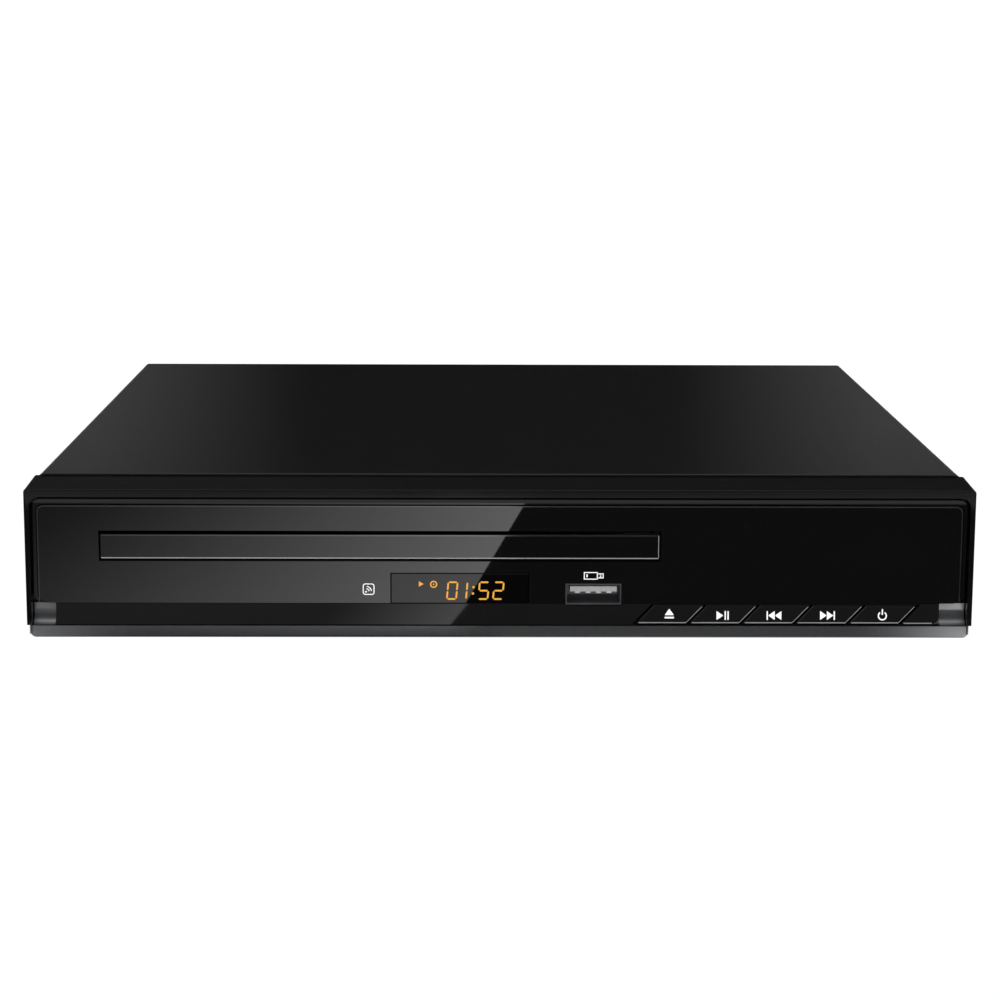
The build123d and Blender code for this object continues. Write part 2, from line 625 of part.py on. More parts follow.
with BuildPart() as memory_socket_tongue:
    block(CAVITY_X, (TONGUE_ROOT, FRONT_BOARD_Y), CAVITY_Z)
    block(around(MEMORY_SOCKET_X, TONGUE_WIDTH), (SOCKET_MOUTH + SEAT, TONGUE_ROOT), TONGUE_Z)
save(memory_socket_tongue.part, "memory_socket_tongue")

with BuildPart() as memory_socket_contacts:
    for index in range(CONTACT_COUNT):
        contact_x = MEMORY_SOCKET_X + (index - (CONTACT_COUNT - 1) / 2) * CONTACT_PITCH
        block(
            around(contact_x, CONTACT_WIDTH),
            (SOCKET_MOUTH + 2 * SEAT, TONGUE_ROOT),
            (TONGUE_Z[0] - CONTACT_HEIGHT, TONGUE_Z[0]),
        )
save(memory_socket_contacts.part, "memory_socket_contacts")

# Tray door, flush with the window
with BuildPart() as tray_door:
    block(around(TRAY_X, DOOR_WIDTH), (PANEL_FRONT, PANEL_BACK), DOOR_LIMITS)
    fillet(tray_door.faces().sort_by(Axis.Y)[0].edges(), radius=DOOR_EDGE)
save(tray_door.part, "tray_door")


def gear_points(teeth, module, x, y, phase):
    """Closed outline of an involute gear at x, y with one tooth centred at the phase angle."""
    pitch_radius = teeth * module / 2
    base_radius = pitch_radius * cos(radians(PRESSURE_ANGLE))
    tip_radius = pitch_radius + ADDENDUM * module
    root_radius = pitch_radius - DEDENDUM * module
    involute = tan(radians(PRESSURE_ANGLE)) - radians(PRESSURE_ANGLE)
    half_pitch = pi / (2 * teeth) - BACKLASH * module / (4 * pitch_radius)
    start = max(base_radius, root_radius)
    flank = []
    for step in range(FLANK_STEPS + 1):
        radius = start + (tip_radius - start) * step / FLANK_STEPS
        roll = acos(min(1.0, base_radius / radius))
        flank.append((radius, half_pitch + involute - (tan(roll) - roll)))
    if root_radius < base_radius:
        flank.insert(0, (root_radius, flank[0][1]))
    points = []
    for tooth in range(teeth):
        middle = radians(phase) + 2 * pi * tooth / teeth
        side = [(radius, middle - angle) for radius, angle in flank]
        side += [(radius, middle + angle) for radius, angle in reversed(flank)]
        points += [(x + radius * cos(angle), y + radius * sin(angle)) for radius, angle in side]
    return points


def rack_points(pitch_x, gap_y, y, module, body):
    """Outline of a rack with teeth to -X, a gap at gap_y, running between the limits y."""
    pitch = pi * module
    slope = tan(radians(PRESSURE_ANGLE))
    half = pitch / 4 - BACKLASH * module / 4
    tip_x = pitch_x - ADDENDUM * module
    root_x = pitch_x + DEDENDUM * module
    half_tip = half - ADDENDUM * module * slope
    half_root = half + DEDENDUM * module * slope
    points = [(root_x + body, y[1]), (root_x + body, y[0]), (root_x, y[0])]
    first = int((y[0] - gap_y) / pitch) - 1
    last = int((y[1] - gap_y) / pitch) + 1
    for index in range(first, last + 1):
        middle = gap_y + (index + 0.5) * pitch
        if middle - half_root > y[0] and middle + half_root < y[1]:
            points += [(root_x, middle - half_root), (tip_x, middle - half_tip)]
            points += [(tip_x, middle + half_tip), (root_x, middle + half_root)]
    points.append((root_x, y[1]))
    return points


# Places of the loading train
GEAR_RADIUS = TRAY_GEAR_TEETH * GEAR_MODULE / 2
PINION_RADIUS = PINION_TEETH * GEAR_MODULE / 2
RACK_PITCH_X = TRAY_X + RACK_X
TRAY_GEAR_X = RACK_PITCH_X - GEAR_RADIUS
TRAIN_Y = FRONT_Y + GEAR_Y
PULLEY_X = TRAY_GEAR_X - GEAR_RADIUS - PINION_RADIUS
MOTOR_X = PULLEY_X - BELT_SPAN
TRAY_UNDERSIDE = TRAY_BOTTOM + TRAY_FLOOR_RISE
GEAR_Z = (TRAY_UNDERSIDE - RUN - GEAR_THICKNESS, TRAY_UNDERSIDE - RUN)
RACK_BOTTOM = MOUTH_Z[0] + RUN
PULLEY_Z = (GEAR_Z[0] - SEAT - PULLEY_THICKNESS, GEAR_Z[0] - SEAT)
POST_BORE = GEAR_POST + 2 * SPIN
RACK_Y = (TRAIN_Y - RACK_MARGIN, TRAIN_Y + TRAY_TRAVEL + RACK_MARGIN)

# Disc tray: recess with a step for small discs, slot for the spindle that opens to the rear, rack below
with BuildPart() as disc_tray:
    block((TRAY_X - TRAY_HALF, TRAY_X + TRAY_HALF), (TRAY_FRONT, TRAY_BACK), (TRAY_BOTTOM, TRAY_TOP))
    block(
        (TRAY_X - TRAY_HALF + LOADER_LEDGE, TRAY_X + TRAY_HALF - LOADER_LEDGE),
        (TRAY_FRONT + BEZEL_WALL, TRAY_BACK),
        (TRAY_BOTTOM, TRAY_UNDERSIDE),
        mode=Mode.SUBTRACT,
    )
    post(TRAY_X, DISC_Y, (RECESS_FLOOR, TRAY_TOP), DISC_RECESS, mode=Mode.SUBTRACT)
    post(TRAY_X, DISC_Y, (RECESS_FLOOR - TRAY_FLOOR / 2, TRAY_TOP), DISC_STEP, mode=Mode.SUBTRACT)
    post(TRAY_X, DISC_Y, (TRAY_BOTTOM, TRAY_TOP), SLOT_WIDTH, mode=Mode.SUBTRACT)
    block(around(TRAY_X, SLOT_WIDTH), (DISC_Y, TRAY_BACK), (TRAY_BOTTOM, TRAY_TOP), mode=Mode.SUBTRACT)
    with BuildSketch(Plane.XY.offset(RACK_BOTTOM)):
        with BuildLine():
            Polyline(*rack_points(RACK_PITCH_X, TRAIN_Y, RACK_Y, GEAR_MODULE, RACK_BODY), close=True)
        make_face()
    extrude(amount=TRAY_UNDERSIDE - RACK_BOTTOM)
save(disc_tray.part, "disc_tray")

# Tray gear between the rack and the pinion
with BuildPart() as tray_gear:
    with BuildSketch(Plane.XY.offset(GEAR_Z[0])):
        with BuildLine():
            Polyline(*gear_points(TRAY_GEAR_TEETH, GEAR_MODULE, TRAY_GEAR_X, TRAIN_Y, 0), close=True)
        make_face()
    extrude(amount=GEAR_THICKNESS)
    post(TRAY_GEAR_X, TRAIN_Y, GEAR_Z, POST_BORE, mode=Mode.SUBTRACT)
save(tray_gear.part, "tray_gear")

# Belt pulley with the pinion on top, and the motor's own pulley on its shaft
GROOVE_RADIUS = PULLEY_RADIUS - BELT_SECTION
MOTOR_GROOVE = MOTOR_PULLEY_RADIUS - BELT_SECTION / 2
BELT_Z = (PULLEY_Z[0] + PULLEY_Z[1]) / 2
GROOVE_HALF = BELT_SECTION / 2 + SEAT
MOTOR_BOSS = 4 * MOTOR_SHAFT
MOTOR_FACE = PLATE_TOP
with BuildPart() as belt_pulley:
    post(PULLEY_X, TRAIN_Y, PULLEY_Z, 2 * PULLEY_RADIUS)
    with BuildSketch(Plane.XY.offset(PULLEY_Z[1])):
        with BuildLine():
            Polyline(
                *gear_points(PINION_TEETH, GEAR_MODULE, PULLEY_X, TRAIN_Y, 180 / PINION_TEETH),
                close=True,
            )
        make_face()
    extrude(amount=GEAR_Z[1] - PULLEY_Z[1])
    with BuildSketch(Plane.XY.offset(BELT_Z - GROOVE_HALF)):
        with Locations((PULLEY_X, TRAIN_Y)):
            Circle(PULLEY_RADIUS)
            Circle(GROOVE_RADIUS, mode=Mode.SUBTRACT)
    extrude(amount=2 * GROOVE_HALF, mode=Mode.SUBTRACT)
    post(PULLEY_X, TRAIN_Y, (PULLEY_Z[0], GEAR_Z[1]), POST_BORE, mode=Mode.SUBTRACT)
save(belt_pulley.part, "belt_pulley")

with BuildPart() as motor_pulley:
    post(MOTOR_X, TRAIN_Y, PULLEY_Z, 2 * MOTOR_PULLEY_RADIUS)
    with BuildSketch(Plane.XY.offset(BELT_Z - GROOVE_HALF)):
        with Locations((MOTOR_X, TRAIN_Y)):
            Circle(MOTOR_PULLEY_RADIUS)
            Circle(MOTOR_GROOVE, mode=Mode.SUBTRACT)
    extrude(amount=2 * GROOVE_HALF, mode=Mode.SUBTRACT)
    post(MOTOR_X, TRAIN_Y, (LOADER_PLATE_Z, PULLEY_Z[0]), MOTOR_SHAFT)
save(motor_pulley.part, "motor_pulley")

# Rubber belt round both pulleys
with BuildPart() as drive_belt:
    with BuildSketch(Plane.XY.offset(BELT_Z - BELT_SECTION / 2)):
        with Locations((PULLEY_X, TRAIN_Y)):
            Circle(GROOVE_RADIUS + SPIN + BELT_SECTION)
        with Locations((MOTOR_X, TRAIN_Y)):
            Circle(MOTOR_GROOVE + SPIN + BELT_SECTION)
        make_hull()
    extrude(amount=BELT_SECTION)
    with BuildSketch(Plane.XY.offset(BELT_Z - BELT_SECTION / 2)):
        with Locations((PULLEY_X, TRAIN_Y)):
            Circle(GROOVE_RADIUS + SPIN)
        with Locations((MOTOR_X, TRAIN_Y)):
            Circle(MOTOR_GROOVE + SPIN)
        make_hull()
    extrude(amount=BELT_SECTION, mode=Mode.SUBTRACT)
save(drive_belt.part, "drive_belt")

# Loading motor under the loader plate, its boss in a hole of the plate
with BuildPart() as loading_motor:
    post(MOTOR_X, TRAIN_Y, (FLOOR_TOP + RUN, LOADER_PLATE_Z), MOTOR_DIAMETER)
    fillet(loading_motor.edges().sort_by(Axis.Z)[0], radius=SHEET)
    post(MOTOR_X, TRAIN_Y, (LOADER_PLATE_Z, MOTOR_FACE), MOTOR_BOSS)
    post(
        MOTOR_X,
        TRAIN_Y,
        (LOADER_PLATE_Z - RUN, MOTOR_FACE),
        MOTOR_SHAFT + 2 * SPIN,
        mode=Mode.SUBTRACT,
    )
save(loading_motor.part, "loading_motor")

# Places on the traverse
TRAVERSE_BACK = TRAY_BACK - TRAVERSE_TAIL - DISC_Y
TRAVERSE_Y = (DISC_Y - TRAVERSE_FRONT, DISC_Y + TRAVERSE_BACK)
PICKUP_FAR = PICKUP_INNER - PICKUP_LEAD + PICKUP_LENGTH
PICKUP_TRAVEL = TRAVERSE_BACK - ROD_SUPPORT - PICKUP_FAR - PICKUP_STOP
TRAVERSE_HALF = TRAVERSE_WIDTH / 2
TRAVERSE_TOP = TRAVERSE_Z + TRAVERSE_PLATE
HINGE_Y = TRAVERSE_Y[1] - LOADER_LEG / 2
HINGE_Z = TRAVERSE_Z + TRAVERSE_PLATE / 2
CAM_Y = (TRAVERSE_Y[0] - RUN - CAM_PLATE, TRAVERSE_Y[0] - RUN)
CAM_DROP = (HINGE_Y - (CAM_Y[0] + CAM_Y[1]) / 2) * sin(radians(TILT_DEGREES))
CAM_SLOT = HINGE_PIN / 2 + RUN
EAR_REACH = 4.0
EAR_RISE = 3.5
OPENING_HALF = TRAVERSE_HALF + RUN
ROD_Z = TRAVERSE_TOP + ROD_RISE
LENS_Y = DISC_Y + PICKUP_INNER
PICKUP_Y = (LENS_Y - PICKUP_LEAD, LENS_Y - PICKUP_LEAD + PICKUP_LENGTH)
FRONT_SUPPORT_Y = (PICKUP_Y[0] - RUN - ROD_SUPPORT, PICKUP_Y[0] - RUN)
REAR_SUPPORT_Y = (TRAVERSE_Y[1] - ROD_SUPPORT, TRAVERSE_Y[1])
ROD_PLACES = (TRAY_X - ROD_SPACING / 2, TRAY_X + ROD_SPACING / 2)
SLED_WHEEL_RADIUS = SLED_WHEEL_TEETH * SLED_MODULE / 2
SLED_SMALL_RADIUS = SLED_SMALL_TEETH * SLED_MODULE / 2
SLED_PINION_RADIUS = SLED_PINION_TEETH * SLED_MODULE / 2
SLED_RACK_PITCH_X = TRAY_X - SLED_RACK_X
SLED_X = SLED_RACK_PITCH_X - SLED_SMALL_RADIUS
SLED_Y = DISC_Y + SLED_GEAR_Y
SLED_PINION_Y = SLED_Y + SLED_WHEEL_RADIUS + SLED_PINION_RADIUS
SLED_WHEEL_Z = (TRAVERSE_TOP + SEAT, TRAVERSE_TOP + SEAT + SLED_GEAR_THICKNESS)
SLED_RACK_Z = (SLED_WHEEL_Z[1] + SEAT, SLED_WHEEL_Z[1] + SEAT + SLED_GEAR_THICKNESS)
LEG_OFFSET = LOADER_INSIDE - LOADER_LEG / 2
LEG_PLACES = [
    (TRAY_X + side * LEG_OFFSET, leg_y)
    for side in (-1, 1)
    for leg_y in (LOADER_Y + LOADER_LEG / 2, LOADER_BACK - LOADER_LEG / 2)
]

# Loader frame: side walls with rails for the tray, plate with gear posts, legs on the chassis floor
with BuildPart() as loader_frame:
    block(
        (TRAY_X - LOADER_OUTSIDE, TRAY_X + LOADER_OUTSIDE),
        (LOADER_Y, LOADER_BACK),
        (LOADER_PLATE_Z, PLATE_TOP),
    )
    block(
        (TRAY_X - OPENING_HALF, TRAY_X + OPENING_HALF),
        (CAM_Y[0] - RUN, TRAVERSE_Y[1] + RUN),
        (LOADER_PLATE_Z, PLATE_TOP),
        mode=Mode.SUBTRACT,
    )
    for side in (-1, 1):
        inside = TRAY_X + side * LOADER_INSIDE
        outside = TRAY_X + side * LOADER_OUTSIDE
        lip = inside - side * LOADER_LIP
        ledge = inside - side * (LOADER_LEDGE - RUN)
        block(sorted((inside, outside)), (LOADER_Y, LOADER_BACK), (LOADER_PLATE_Z, LOADER_TOP))
        block(sorted((lip, outside)), (LOADER_Y, LOADER_BACK), (TRAY_TOP + RUN, LOADER_TOP))
        block(sorted((ledge, outside)), (LOADER_Y, LOADER_BACK), (GEAR_Z[0], TRAY_BOTTOM - RUN))
        ear = TRAY_X + side * (OPENING_HALF + EAR_REACH)
        opening = TRAY_X + side * OPENING_HALF
        block(sorted((opening, ear)), around(HINGE_Y, LOADER_LEG), (LOADER_PLATE_Z, HINGE_Z + EAR_RISE))
    crossbar(
        (TRAY_X - OPENING_HALF - EAR_REACH, TRAY_X + OPENING_HALF + EAR_REACH),
        HINGE_Y,
        HINGE_Z,
        HINGE_PIN + 2 * SPIN,
        mode=Mode.SUBTRACT,
    )
    for leg_x, leg_y in LEG_PLACES:
        block(around(leg_x, LOADER_LEG), around(leg_y, LOADER_LEG), (FLOOR_TOP, LOADER_PLATE_Z))
        post(leg_x, leg_y, (FLOOR_TOP, PLATE_TOP), SCREW_DIAMETER, mode=Mode.SUBTRACT)
    post(MOTOR_X, TRAIN_Y, (LOADER_PLATE_Z, PLATE_TOP), MOTOR_BOSS + 2 * SEAT, mode=Mode.SUBTRACT)
    post(PULLEY_X, TRAIN_Y, (PLATE_TOP, PULLEY_Z[0] - SEAT), 2 * GEAR_POST)
    post(PULLEY_X, TRAIN_Y, (PLATE_TOP, GEAR_Z[1]), GEAR_POST)
    post(TRAY_GEAR_X, TRAIN_Y, (PLATE_TOP, GEAR_Z[0] - SEAT), 2 * GEAR_POST)
    post(TRAY_GEAR_X, TRAIN_Y, (PLATE_TOP, GEAR_Z[1]), GEAR_POST)
save(loader_frame.part, "loader_frame")

# Cam slider: a slanted slot that lowers the front of the traverse as it moves across
with BuildPart() as cam_slider:
    block(
        (TRAY_X - CAM_TRAVEL - CAM_END, TRAY_X + CAM_END),
        CAM_Y,
        (HINGE_Z - CAM_DROP - CAM_SLOT - CAM_RIM, HINGE_Z + CAM_SLOT + CAM_RIM),
    )
    block(
        (TRAY_X - CAM_TRAVEL - CAM_END, TRAY_X + CAM_END),
        (CAM_Y[0] - CAM_FOOT, CAM_Y[0]),
        (PLATE_TOP + SPIN, PLATE_TOP + SPIN + CAM_FOOT_SHEET),
    )
    with BuildSketch(Plane.XZ.offset(-CAM_Y[0] + CAM_FOOT)):
        with Locations((TRAY_X, HINGE_Z), (TRAY_X - CAM_TRAVEL, HINGE_Z - CAM_DROP)):
            Circle(CAM_SLOT)
        make_hull()
    extrude(amount=-(CAM_Y[1] - CAM_Y[0] + CAM_FOOT), mode=Mode.SUBTRACT)
save(cam_slider.part, "cam_slider")

# Traverse: plate with hinge pins, cam pin, rod supports and gear post
with BuildPart() as traverse_plate:
    block((TRAY_X - TRAVERSE_HALF, TRAY_X + TRAVERSE_HALF), TRAVERSE_Y, (TRAVERSE_Z, TRAVERSE_TOP))
    block(
        around(TRAY_X, PICKUP_WIDTH - BUSH_DIAMETER),
        (PICKUP_Y[0], REAR_SUPPORT_Y[0] - ROD_SUPPORT),
        (TRAVERSE_Z, TRAVERSE_TOP),
        mode=Mode.SUBTRACT,
    )
    for rod_x in ROD_PLACES:
        for support_y in (FRONT_SUPPORT_Y, REAR_SUPPORT_Y):
            block(
                around(rod_x, 2 * ROD_DIAMETER),
                support_y,
                (TRAVERSE_TOP, ROD_Z + ROD_DIAMETER),
            )
        rod(rod_x, (FRONT_SUPPORT_Y[0], REAR_SUPPORT_Y[1]), ROD_Z, ROD_DIAMETER + 2 * SPIN, mode=Mode.SUBTRACT)
    for side in (-1, 1):
        pin = sorted((TRAY_X + side * (TRAVERSE_HALF - PIN_ROOT), TRAY_X + side * (OPENING_HALF + EAR_REACH)))
        crossbar(pin, HINGE_Y, HINGE_Z, HINGE_PIN)
    rod(TRAY_X, (CAM_Y[0] - SEAT, TRAVERSE_Y[0] + PIN_ROOT), HINGE_Z, HINGE_PIN)
    post(SLED_X, SLED_Y, (TRAVERSE_TOP, SLED_RACK_Z[1]), SLED_POST)
    post(SLED_X, SLED_PINION_Y, (TRAVERSE_Z, TRAVERSE_TOP), SLED_BOSS + 2 * SEAT, mode=Mode.SUBTRACT)
save(traverse_plate.part, "traverse_plate")

with BuildPart() as guide_rods:
    for rod_x in ROD_PLACES:
        rod(rod_x, (FRONT_SUPPORT_Y[0], REAR_SUPPORT_Y[1]), ROD_Z, ROD_DIAMETER)
save(guide_rods.part, "guide_rods")

# Spindle motor and turntable with its hub and shaft
TURN_TOP = RECESS_FLOOR + DISC_LIFT
TURN_BOTTOM = TURN_TOP - TURNTABLE_THICKNESS
SPINDLE_TOP = TURN_BOTTOM - 2 * RUN
SHAFT_BOTTOM = (TRAVERSE_TOP + SPINDLE_TOP) / 2
with BuildPart() as spindle_motor:
    post(TRAY_X, DISC_Y, (TRAVERSE_TOP, SPINDLE_TOP), SPINDLE_CAN)
    fillet(spindle_motor.edges().sort_by(Axis.Z)[-1], radius=SHEET)
    post(TRAY_X, DISC_Y, (SHAFT_BOTTOM - RUN, SPINDLE_TOP), SPINDLE_SHAFT + 2 * SPIN, mode=Mode.SUBTRACT)
save(spindle_motor.part, "spindle_motor")

with BuildPart() as turntable:
    post(TRAY_X, DISC_Y, (TURN_BOTTOM, TURN_TOP), TURNTABLE_DIAMETER)
    with Locations((TRAY_X, DISC_Y, TURN_TOP + HUB_HEIGHT / 2)):
        Cone(HUB_DIAMETER / 2, HUB_DIAMETER / 2 - HUB_HEIGHT / 2, HUB_HEIGHT)
    post(TRAY_X, DISC_Y, (SHAFT_BOTTOM, TURN_BOTTOM), SPINDLE_SHAFT)
save(turntable.part, "turntable")

# Pickup with bushes on the rods, lens turret and rack; the lens itself
PICKUP_Z = around(ROD_Z, PICKUP_HEIGHT)
TURRET_TOP = PICKUP_Z[1] + SHEET
with BuildPart() as pickup:
    block(around(TRAY_X, PICKUP_WIDTH), PICKUP_Y, PICKUP_Z)
    for rod_x in ROD_PLACES:
        rod(rod_x, PICKUP_Y, ROD_Z, BUSH_DIAMETER)
    post(TRAY_X, LENS_Y, (PICKUP_Z[1], TURRET_TOP), 3 * LENS_DIAMETER)
    post(TRAY_X, LENS_Y, (PICKUP_Z[1], TURRET_TOP), LENS_DIAMETER + 2 * SPIN, mode=Mode.SUBTRACT)
    with BuildSketch(Plane.XY.offset(SLED_RACK_Z[0])):
        with BuildLine():
            Polyline(
                *rack_points(
                    SLED_RACK_PITCH_X,
                    SLED_Y,
                    (SLED_Y - PICKUP_TRAVEL - SLED_RACK_MARGIN, SLED_Y + SLED_RACK_MARGIN),
                    SLED_MODULE,
                    SLED_RACK_BODY,
                ),
                close=True,
            )
        make_face()
    extrude(amount=SLED_GEAR_THICKNESS)
    block(
        (SLED_RACK_PITCH_X + SLED_MODULE + SLED_RACK_BODY / 2, ROD_PLACES[0]),
        PICKUP_Y,
        SLED_RACK_Z,
    )
    for rod_x in ROD_PLACES:
        rod(rod_x, PICKUP_Y, ROD_Z, ROD_DIAMETER + 2 * SPIN, mode=Mode.SUBTRACT)
save(pickup.part, "pickup")

with BuildPart() as pickup_lens:
    post(TRAY_X, LENS_Y, (PICKUP_Z[1], TURRET_TOP), LENS_DIAMETER)
    with BuildSketch(Plane.XZ.offset(-LENS_Y)):
        with BuildLine():
            ThreePointArc(
                (TRAY_X, TURRET_TOP + SHEET),
                (TRAY_X + LENS_DIAMETER / 3, TURRET_TOP + SHEET / 2),
                (TRAY_X + LENS_DIAMETER / 2, TURRET_TOP),
            )
            Polyline(
                (TRAY_X + LENS_DIAMETER / 2, TURRET_TOP),
                (TRAY_X, TURRET_TOP),
                (TRAY_X, TURRET_TOP + SHEET),
            )
        make_face()
    revolve(axis=Axis((TRAY_X, LENS_Y, 0), (0, 0, 1)))
save(pickup_lens.part, "pickup_lens")

# Sled drive: stepped gear, motor pinion on its shaft, motor below the plate
with BuildPart() as sled_gear:
    with BuildSketch(Plane.XY.offset(SLED_WHEEL_Z[0])):
        with BuildLine():
            Polyline(*gear_points(SLED_WHEEL_TEETH, SLED_MODULE, SLED_X, SLED_Y, 0), close=True)
        make_face()
    extrude(amount=SLED_GEAR_THICKNESS)
    with BuildSketch(Plane.XY.offset(SLED_WHEEL_Z[1])):
        with BuildLine():
            Polyline(*gear_points(SLED_SMALL_TEETH, SLED_MODULE, SLED_X, SLED_Y, 0), close=True)
        make_face()
    extrude(amount=SLED_RACK_Z[1] - SLED_WHEEL_Z[1])
    post(SLED_X, SLED_Y, (SLED_WHEEL_Z[0], SLED_RACK_Z[1]), SLED_POST + 2 * SPIN, mode=Mode.SUBTRACT)
save(sled_gear.part, "sled_gear")

with BuildPart() as sled_pinion:
    with BuildSketch(Plane.XY.offset(SLED_WHEEL_Z[0])):
        with BuildLine():
            Polyline(*gear_points(SLED_PINION_TEETH, SLED_MODULE, SLED_X, SLED_PINION_Y, 0), close=True)
        make_face()
    extrude(amount=SLED_GEAR_THICKNESS)
    post(SLED_X, SLED_PINION_Y, (TRAVERSE_Z, SLED_WHEEL_Z[0]), SLED_SHAFT)
save(sled_pinion.part, "sled_pinion")

with BuildPart() as sled_motor:
    post(SLED_X, SLED_PINION_Y, (TRAVERSE_Z - SLED_MOTOR_HEIGHT, TRAVERSE_Z), SLED_MOTOR_DIAMETER)
    fillet(sled_motor.edges().sort_by(Axis.Z)[0], radius=SHEET)
    post(SLED_X, SLED_PINION_Y, (TRAVERSE_Z, TRAVERSE_TOP), SLED_BOSS)
    post(
        SLED_X,
        SLED_PINION_Y,
        (TRAVERSE_Z - RUN, TRAVERSE_TOP),
        SLED_SHAFT + 2 * SPIN,
        mode=Mode.SUBTRACT,
    )
save(sled_motor.part, "sled_motor")

# Clamp: bridge over the tray and the puck that hangs in its hole
BRIDGE_TOP = LOADER_TOP + BRIDGE_SHEET
CLAMP_BOTTOM = TRAY_TOP + RUN
with BuildPart() as clamp_bridge:
    block(
        (TRAY_X - LOADER_OUTSIDE, TRAY_X + LOADER_OUTSIDE),
        around(DISC_Y, BRIDGE_WIDTH),
        (LOADER_TOP, BRIDGE_TOP),
    )
    post(TRAY_X, DISC_Y, (LOADER_TOP, BRIDGE_TOP), CLAMP_NECK + 2 * RUN, mode=Mode.SUBTRACT)
save(clamp_bridge.part, "clamp_bridge")

with BuildPart() as clamp_puck:
    post(TRAY_X, DISC_Y, (CLAMP_BOTTOM, BRIDGE_TOP + 2 * SPIN), CLAMP_NECK)
    post(
        TRAY_X,
        DISC_Y,
        (BRIDGE_TOP + 2 * SPIN, BRIDGE_TOP + 2 * SPIN + CLAMP_FLANGE),
        CLAMP_DIAMETER,
    )
    post(TRAY_X, DISC_Y, (CLAMP_BOTTOM, CLAMP_BOTTOM + HUB_HEIGHT), HUB_DIAMETER + 2 * RUN, mode=Mode.SUBTRACT)
save(clamp_puck.part, "clamp_puck")

# Places of the boards, their screws, the feet and the cover
CHASSIS_BACK = REAR_Y - SHEET
COVER_BACK = REAR_Y + SHEET
COVER_BOTTOM = FLOOR_BOTTOM + SEAT
MAIN_TOP = MAIN_BOARD_Z + BOARD_THICKNESS
MAIN_BOARD_DEPTH = MAIN_BOARD_SHARE * (REAR_Y - LOADER_BACK)
MAIN_Y = (CHASSIS_BACK - SHEET - 2 * SEAT - MAIN_BOARD_DEPTH, CHASSIS_BACK - SHEET - 2 * SEAT)
POWER_TOP = POWER_BOARD_Z + BOARD_THICKNESS
POWER_X = (LOADER_RIGHT + CABLE_ROOM, CHASSIS_HALF - BOSS_DIAMETER)
MAIN_X = (MAIN_BOARD_INSET - CHASSIS_HALF, POWER_X[0] + MAIN_BOARD_OVERLAP)
AV_SOCKET_X = MAIN_X[0] + AV_SOCKET_OFFSET
VIDEO_SOCKET_X = MAIN_X[0] + VIDEO_SOCKET_OFFSET
JACK_X = MAIN_X[0] + JACK_OFFSET
INLET_X = CHASSIS_HALF - SHEET - INLET_WIDTH / 2 - INLET_INSET
POWER_Y = (LOADER_Y, LOADER_Y + POWER_BOARD_DEPTH)
MAIN_SCREWS = [
    (x, y)
    for x in (MAIN_X[0] + PILLAR_INSET, MAIN_X[1] - PILLAR_INSET)
    for y in (MAIN_Y[0] + PILLAR_INSET, MAIN_Y[1] - PILLAR_INSET)
]
POWER_SCREWS = [
    (x, y)
    for x in (POWER_X[0] + PILLAR_INSET, POWER_X[1] - PILLAR_INSET)
    for y in (POWER_Y[0] + PILLAR_INSET, POWER_Y[1] - PILLAR_INSET)
]
FOOT_PLACES = [
    (side * (CASE_WIDTH / 2 - FOOT_INSET_X), foot_y)
    for side in (-1, 1)
    for foot_y in (FRONT_Y + FOOT_INSET_Y, REAR_Y - FOOT_INSET_Y)
]
SIDE_SCREW_Z = FLOOR_TOP + SIDE_FLANGE / 2
SIDE_SCREW_PLACES = (COVER_FRONT + COVER_SCREW_INSET, REAR_Y - COVER_SCREW_INSET)
REAR_SCREW_Z = CASE_HEIGHT - REAR_FLANGE / 2
REAR_SCREW_PLACES = (-REAR_SCREW_SPACING, 0.0, REAR_SCREW_SPACING)
CLEAR_HOLE = SCREW_DIAMETER + SEAT

# Bottom chassis: folded pan with board pillars, foot holes and vents
with BuildPart() as bottom_chassis:
    block((-CHASSIS_HALF, CHASSIS_HALF), (CHASSIS_FRONT, CHASSIS_BACK), (FLOOR_BOTTOM, FLOOR_TOP))
    for side in (-1, 1):
        flange = sorted((side * CHASSIS_HALF, side * (CHASSIS_HALF - SHEET)))
        block(flange, (CHASSIS_FRONT, CHASSIS_BACK), (FLOOR_BOTTOM, FLOOR_TOP + SIDE_FLANGE))
    block(
        (-CHASSIS_HALF, CHASSIS_HALF),
        (CHASSIS_BACK - SHEET, CHASSIS_BACK),
        (FLOOR_BOTTOM, FLOOR_TOP + LOW_FLANGE),
    )
    for pillar_x, pillar_y in MAIN_SCREWS:
        post(pillar_x, pillar_y, (FLOOR_TOP, MAIN_BOARD_Z), BOSS_DIAMETER)
    for pillar_x, pillar_y in POWER_SCREWS:
        post(pillar_x, pillar_y, (FLOOR_TOP, POWER_BOARD_Z), BOSS_DIAMETER)
    for hole_x, hole_y in MAIN_SCREWS + POWER_SCREWS:
        post(hole_x, hole_y, (FLOOR_TOP, MAIN_BOARD_Z), SCREW_DIAMETER, mode=Mode.SUBTRACT)
    for foot_x, foot_y in FOOT_PLACES:
        post(foot_x, foot_y, (FLOOR_BOTTOM, FLOOR_TOP), FOOT_STUD, mode=Mode.SUBTRACT)
    for screw_y in SIDE_SCREW_PLACES:
        crossbar((-CASE_WIDTH / 2, CASE_WIDTH / 2), screw_y, SIDE_SCREW_Z, SCREW_DIAMETER, mode=Mode.SUBTRACT)
    with BuildSketch(Plane.XY.offset(FLOOR_BOTTOM)):
        with Locations(((POWER_X[0] + POWER_X[1]) / 2, (POWER_Y[0] + POWER_Y[1]) / 2)):
            with GridLocations(2 * VENT_LENGTH, VENT_PITCH, 1, VENT_COUNT):
                SlotOverall(VENT_LENGTH, VENT_WIDTH)
    extrude(amount=SHEET, mode=Mode.SUBTRACT)
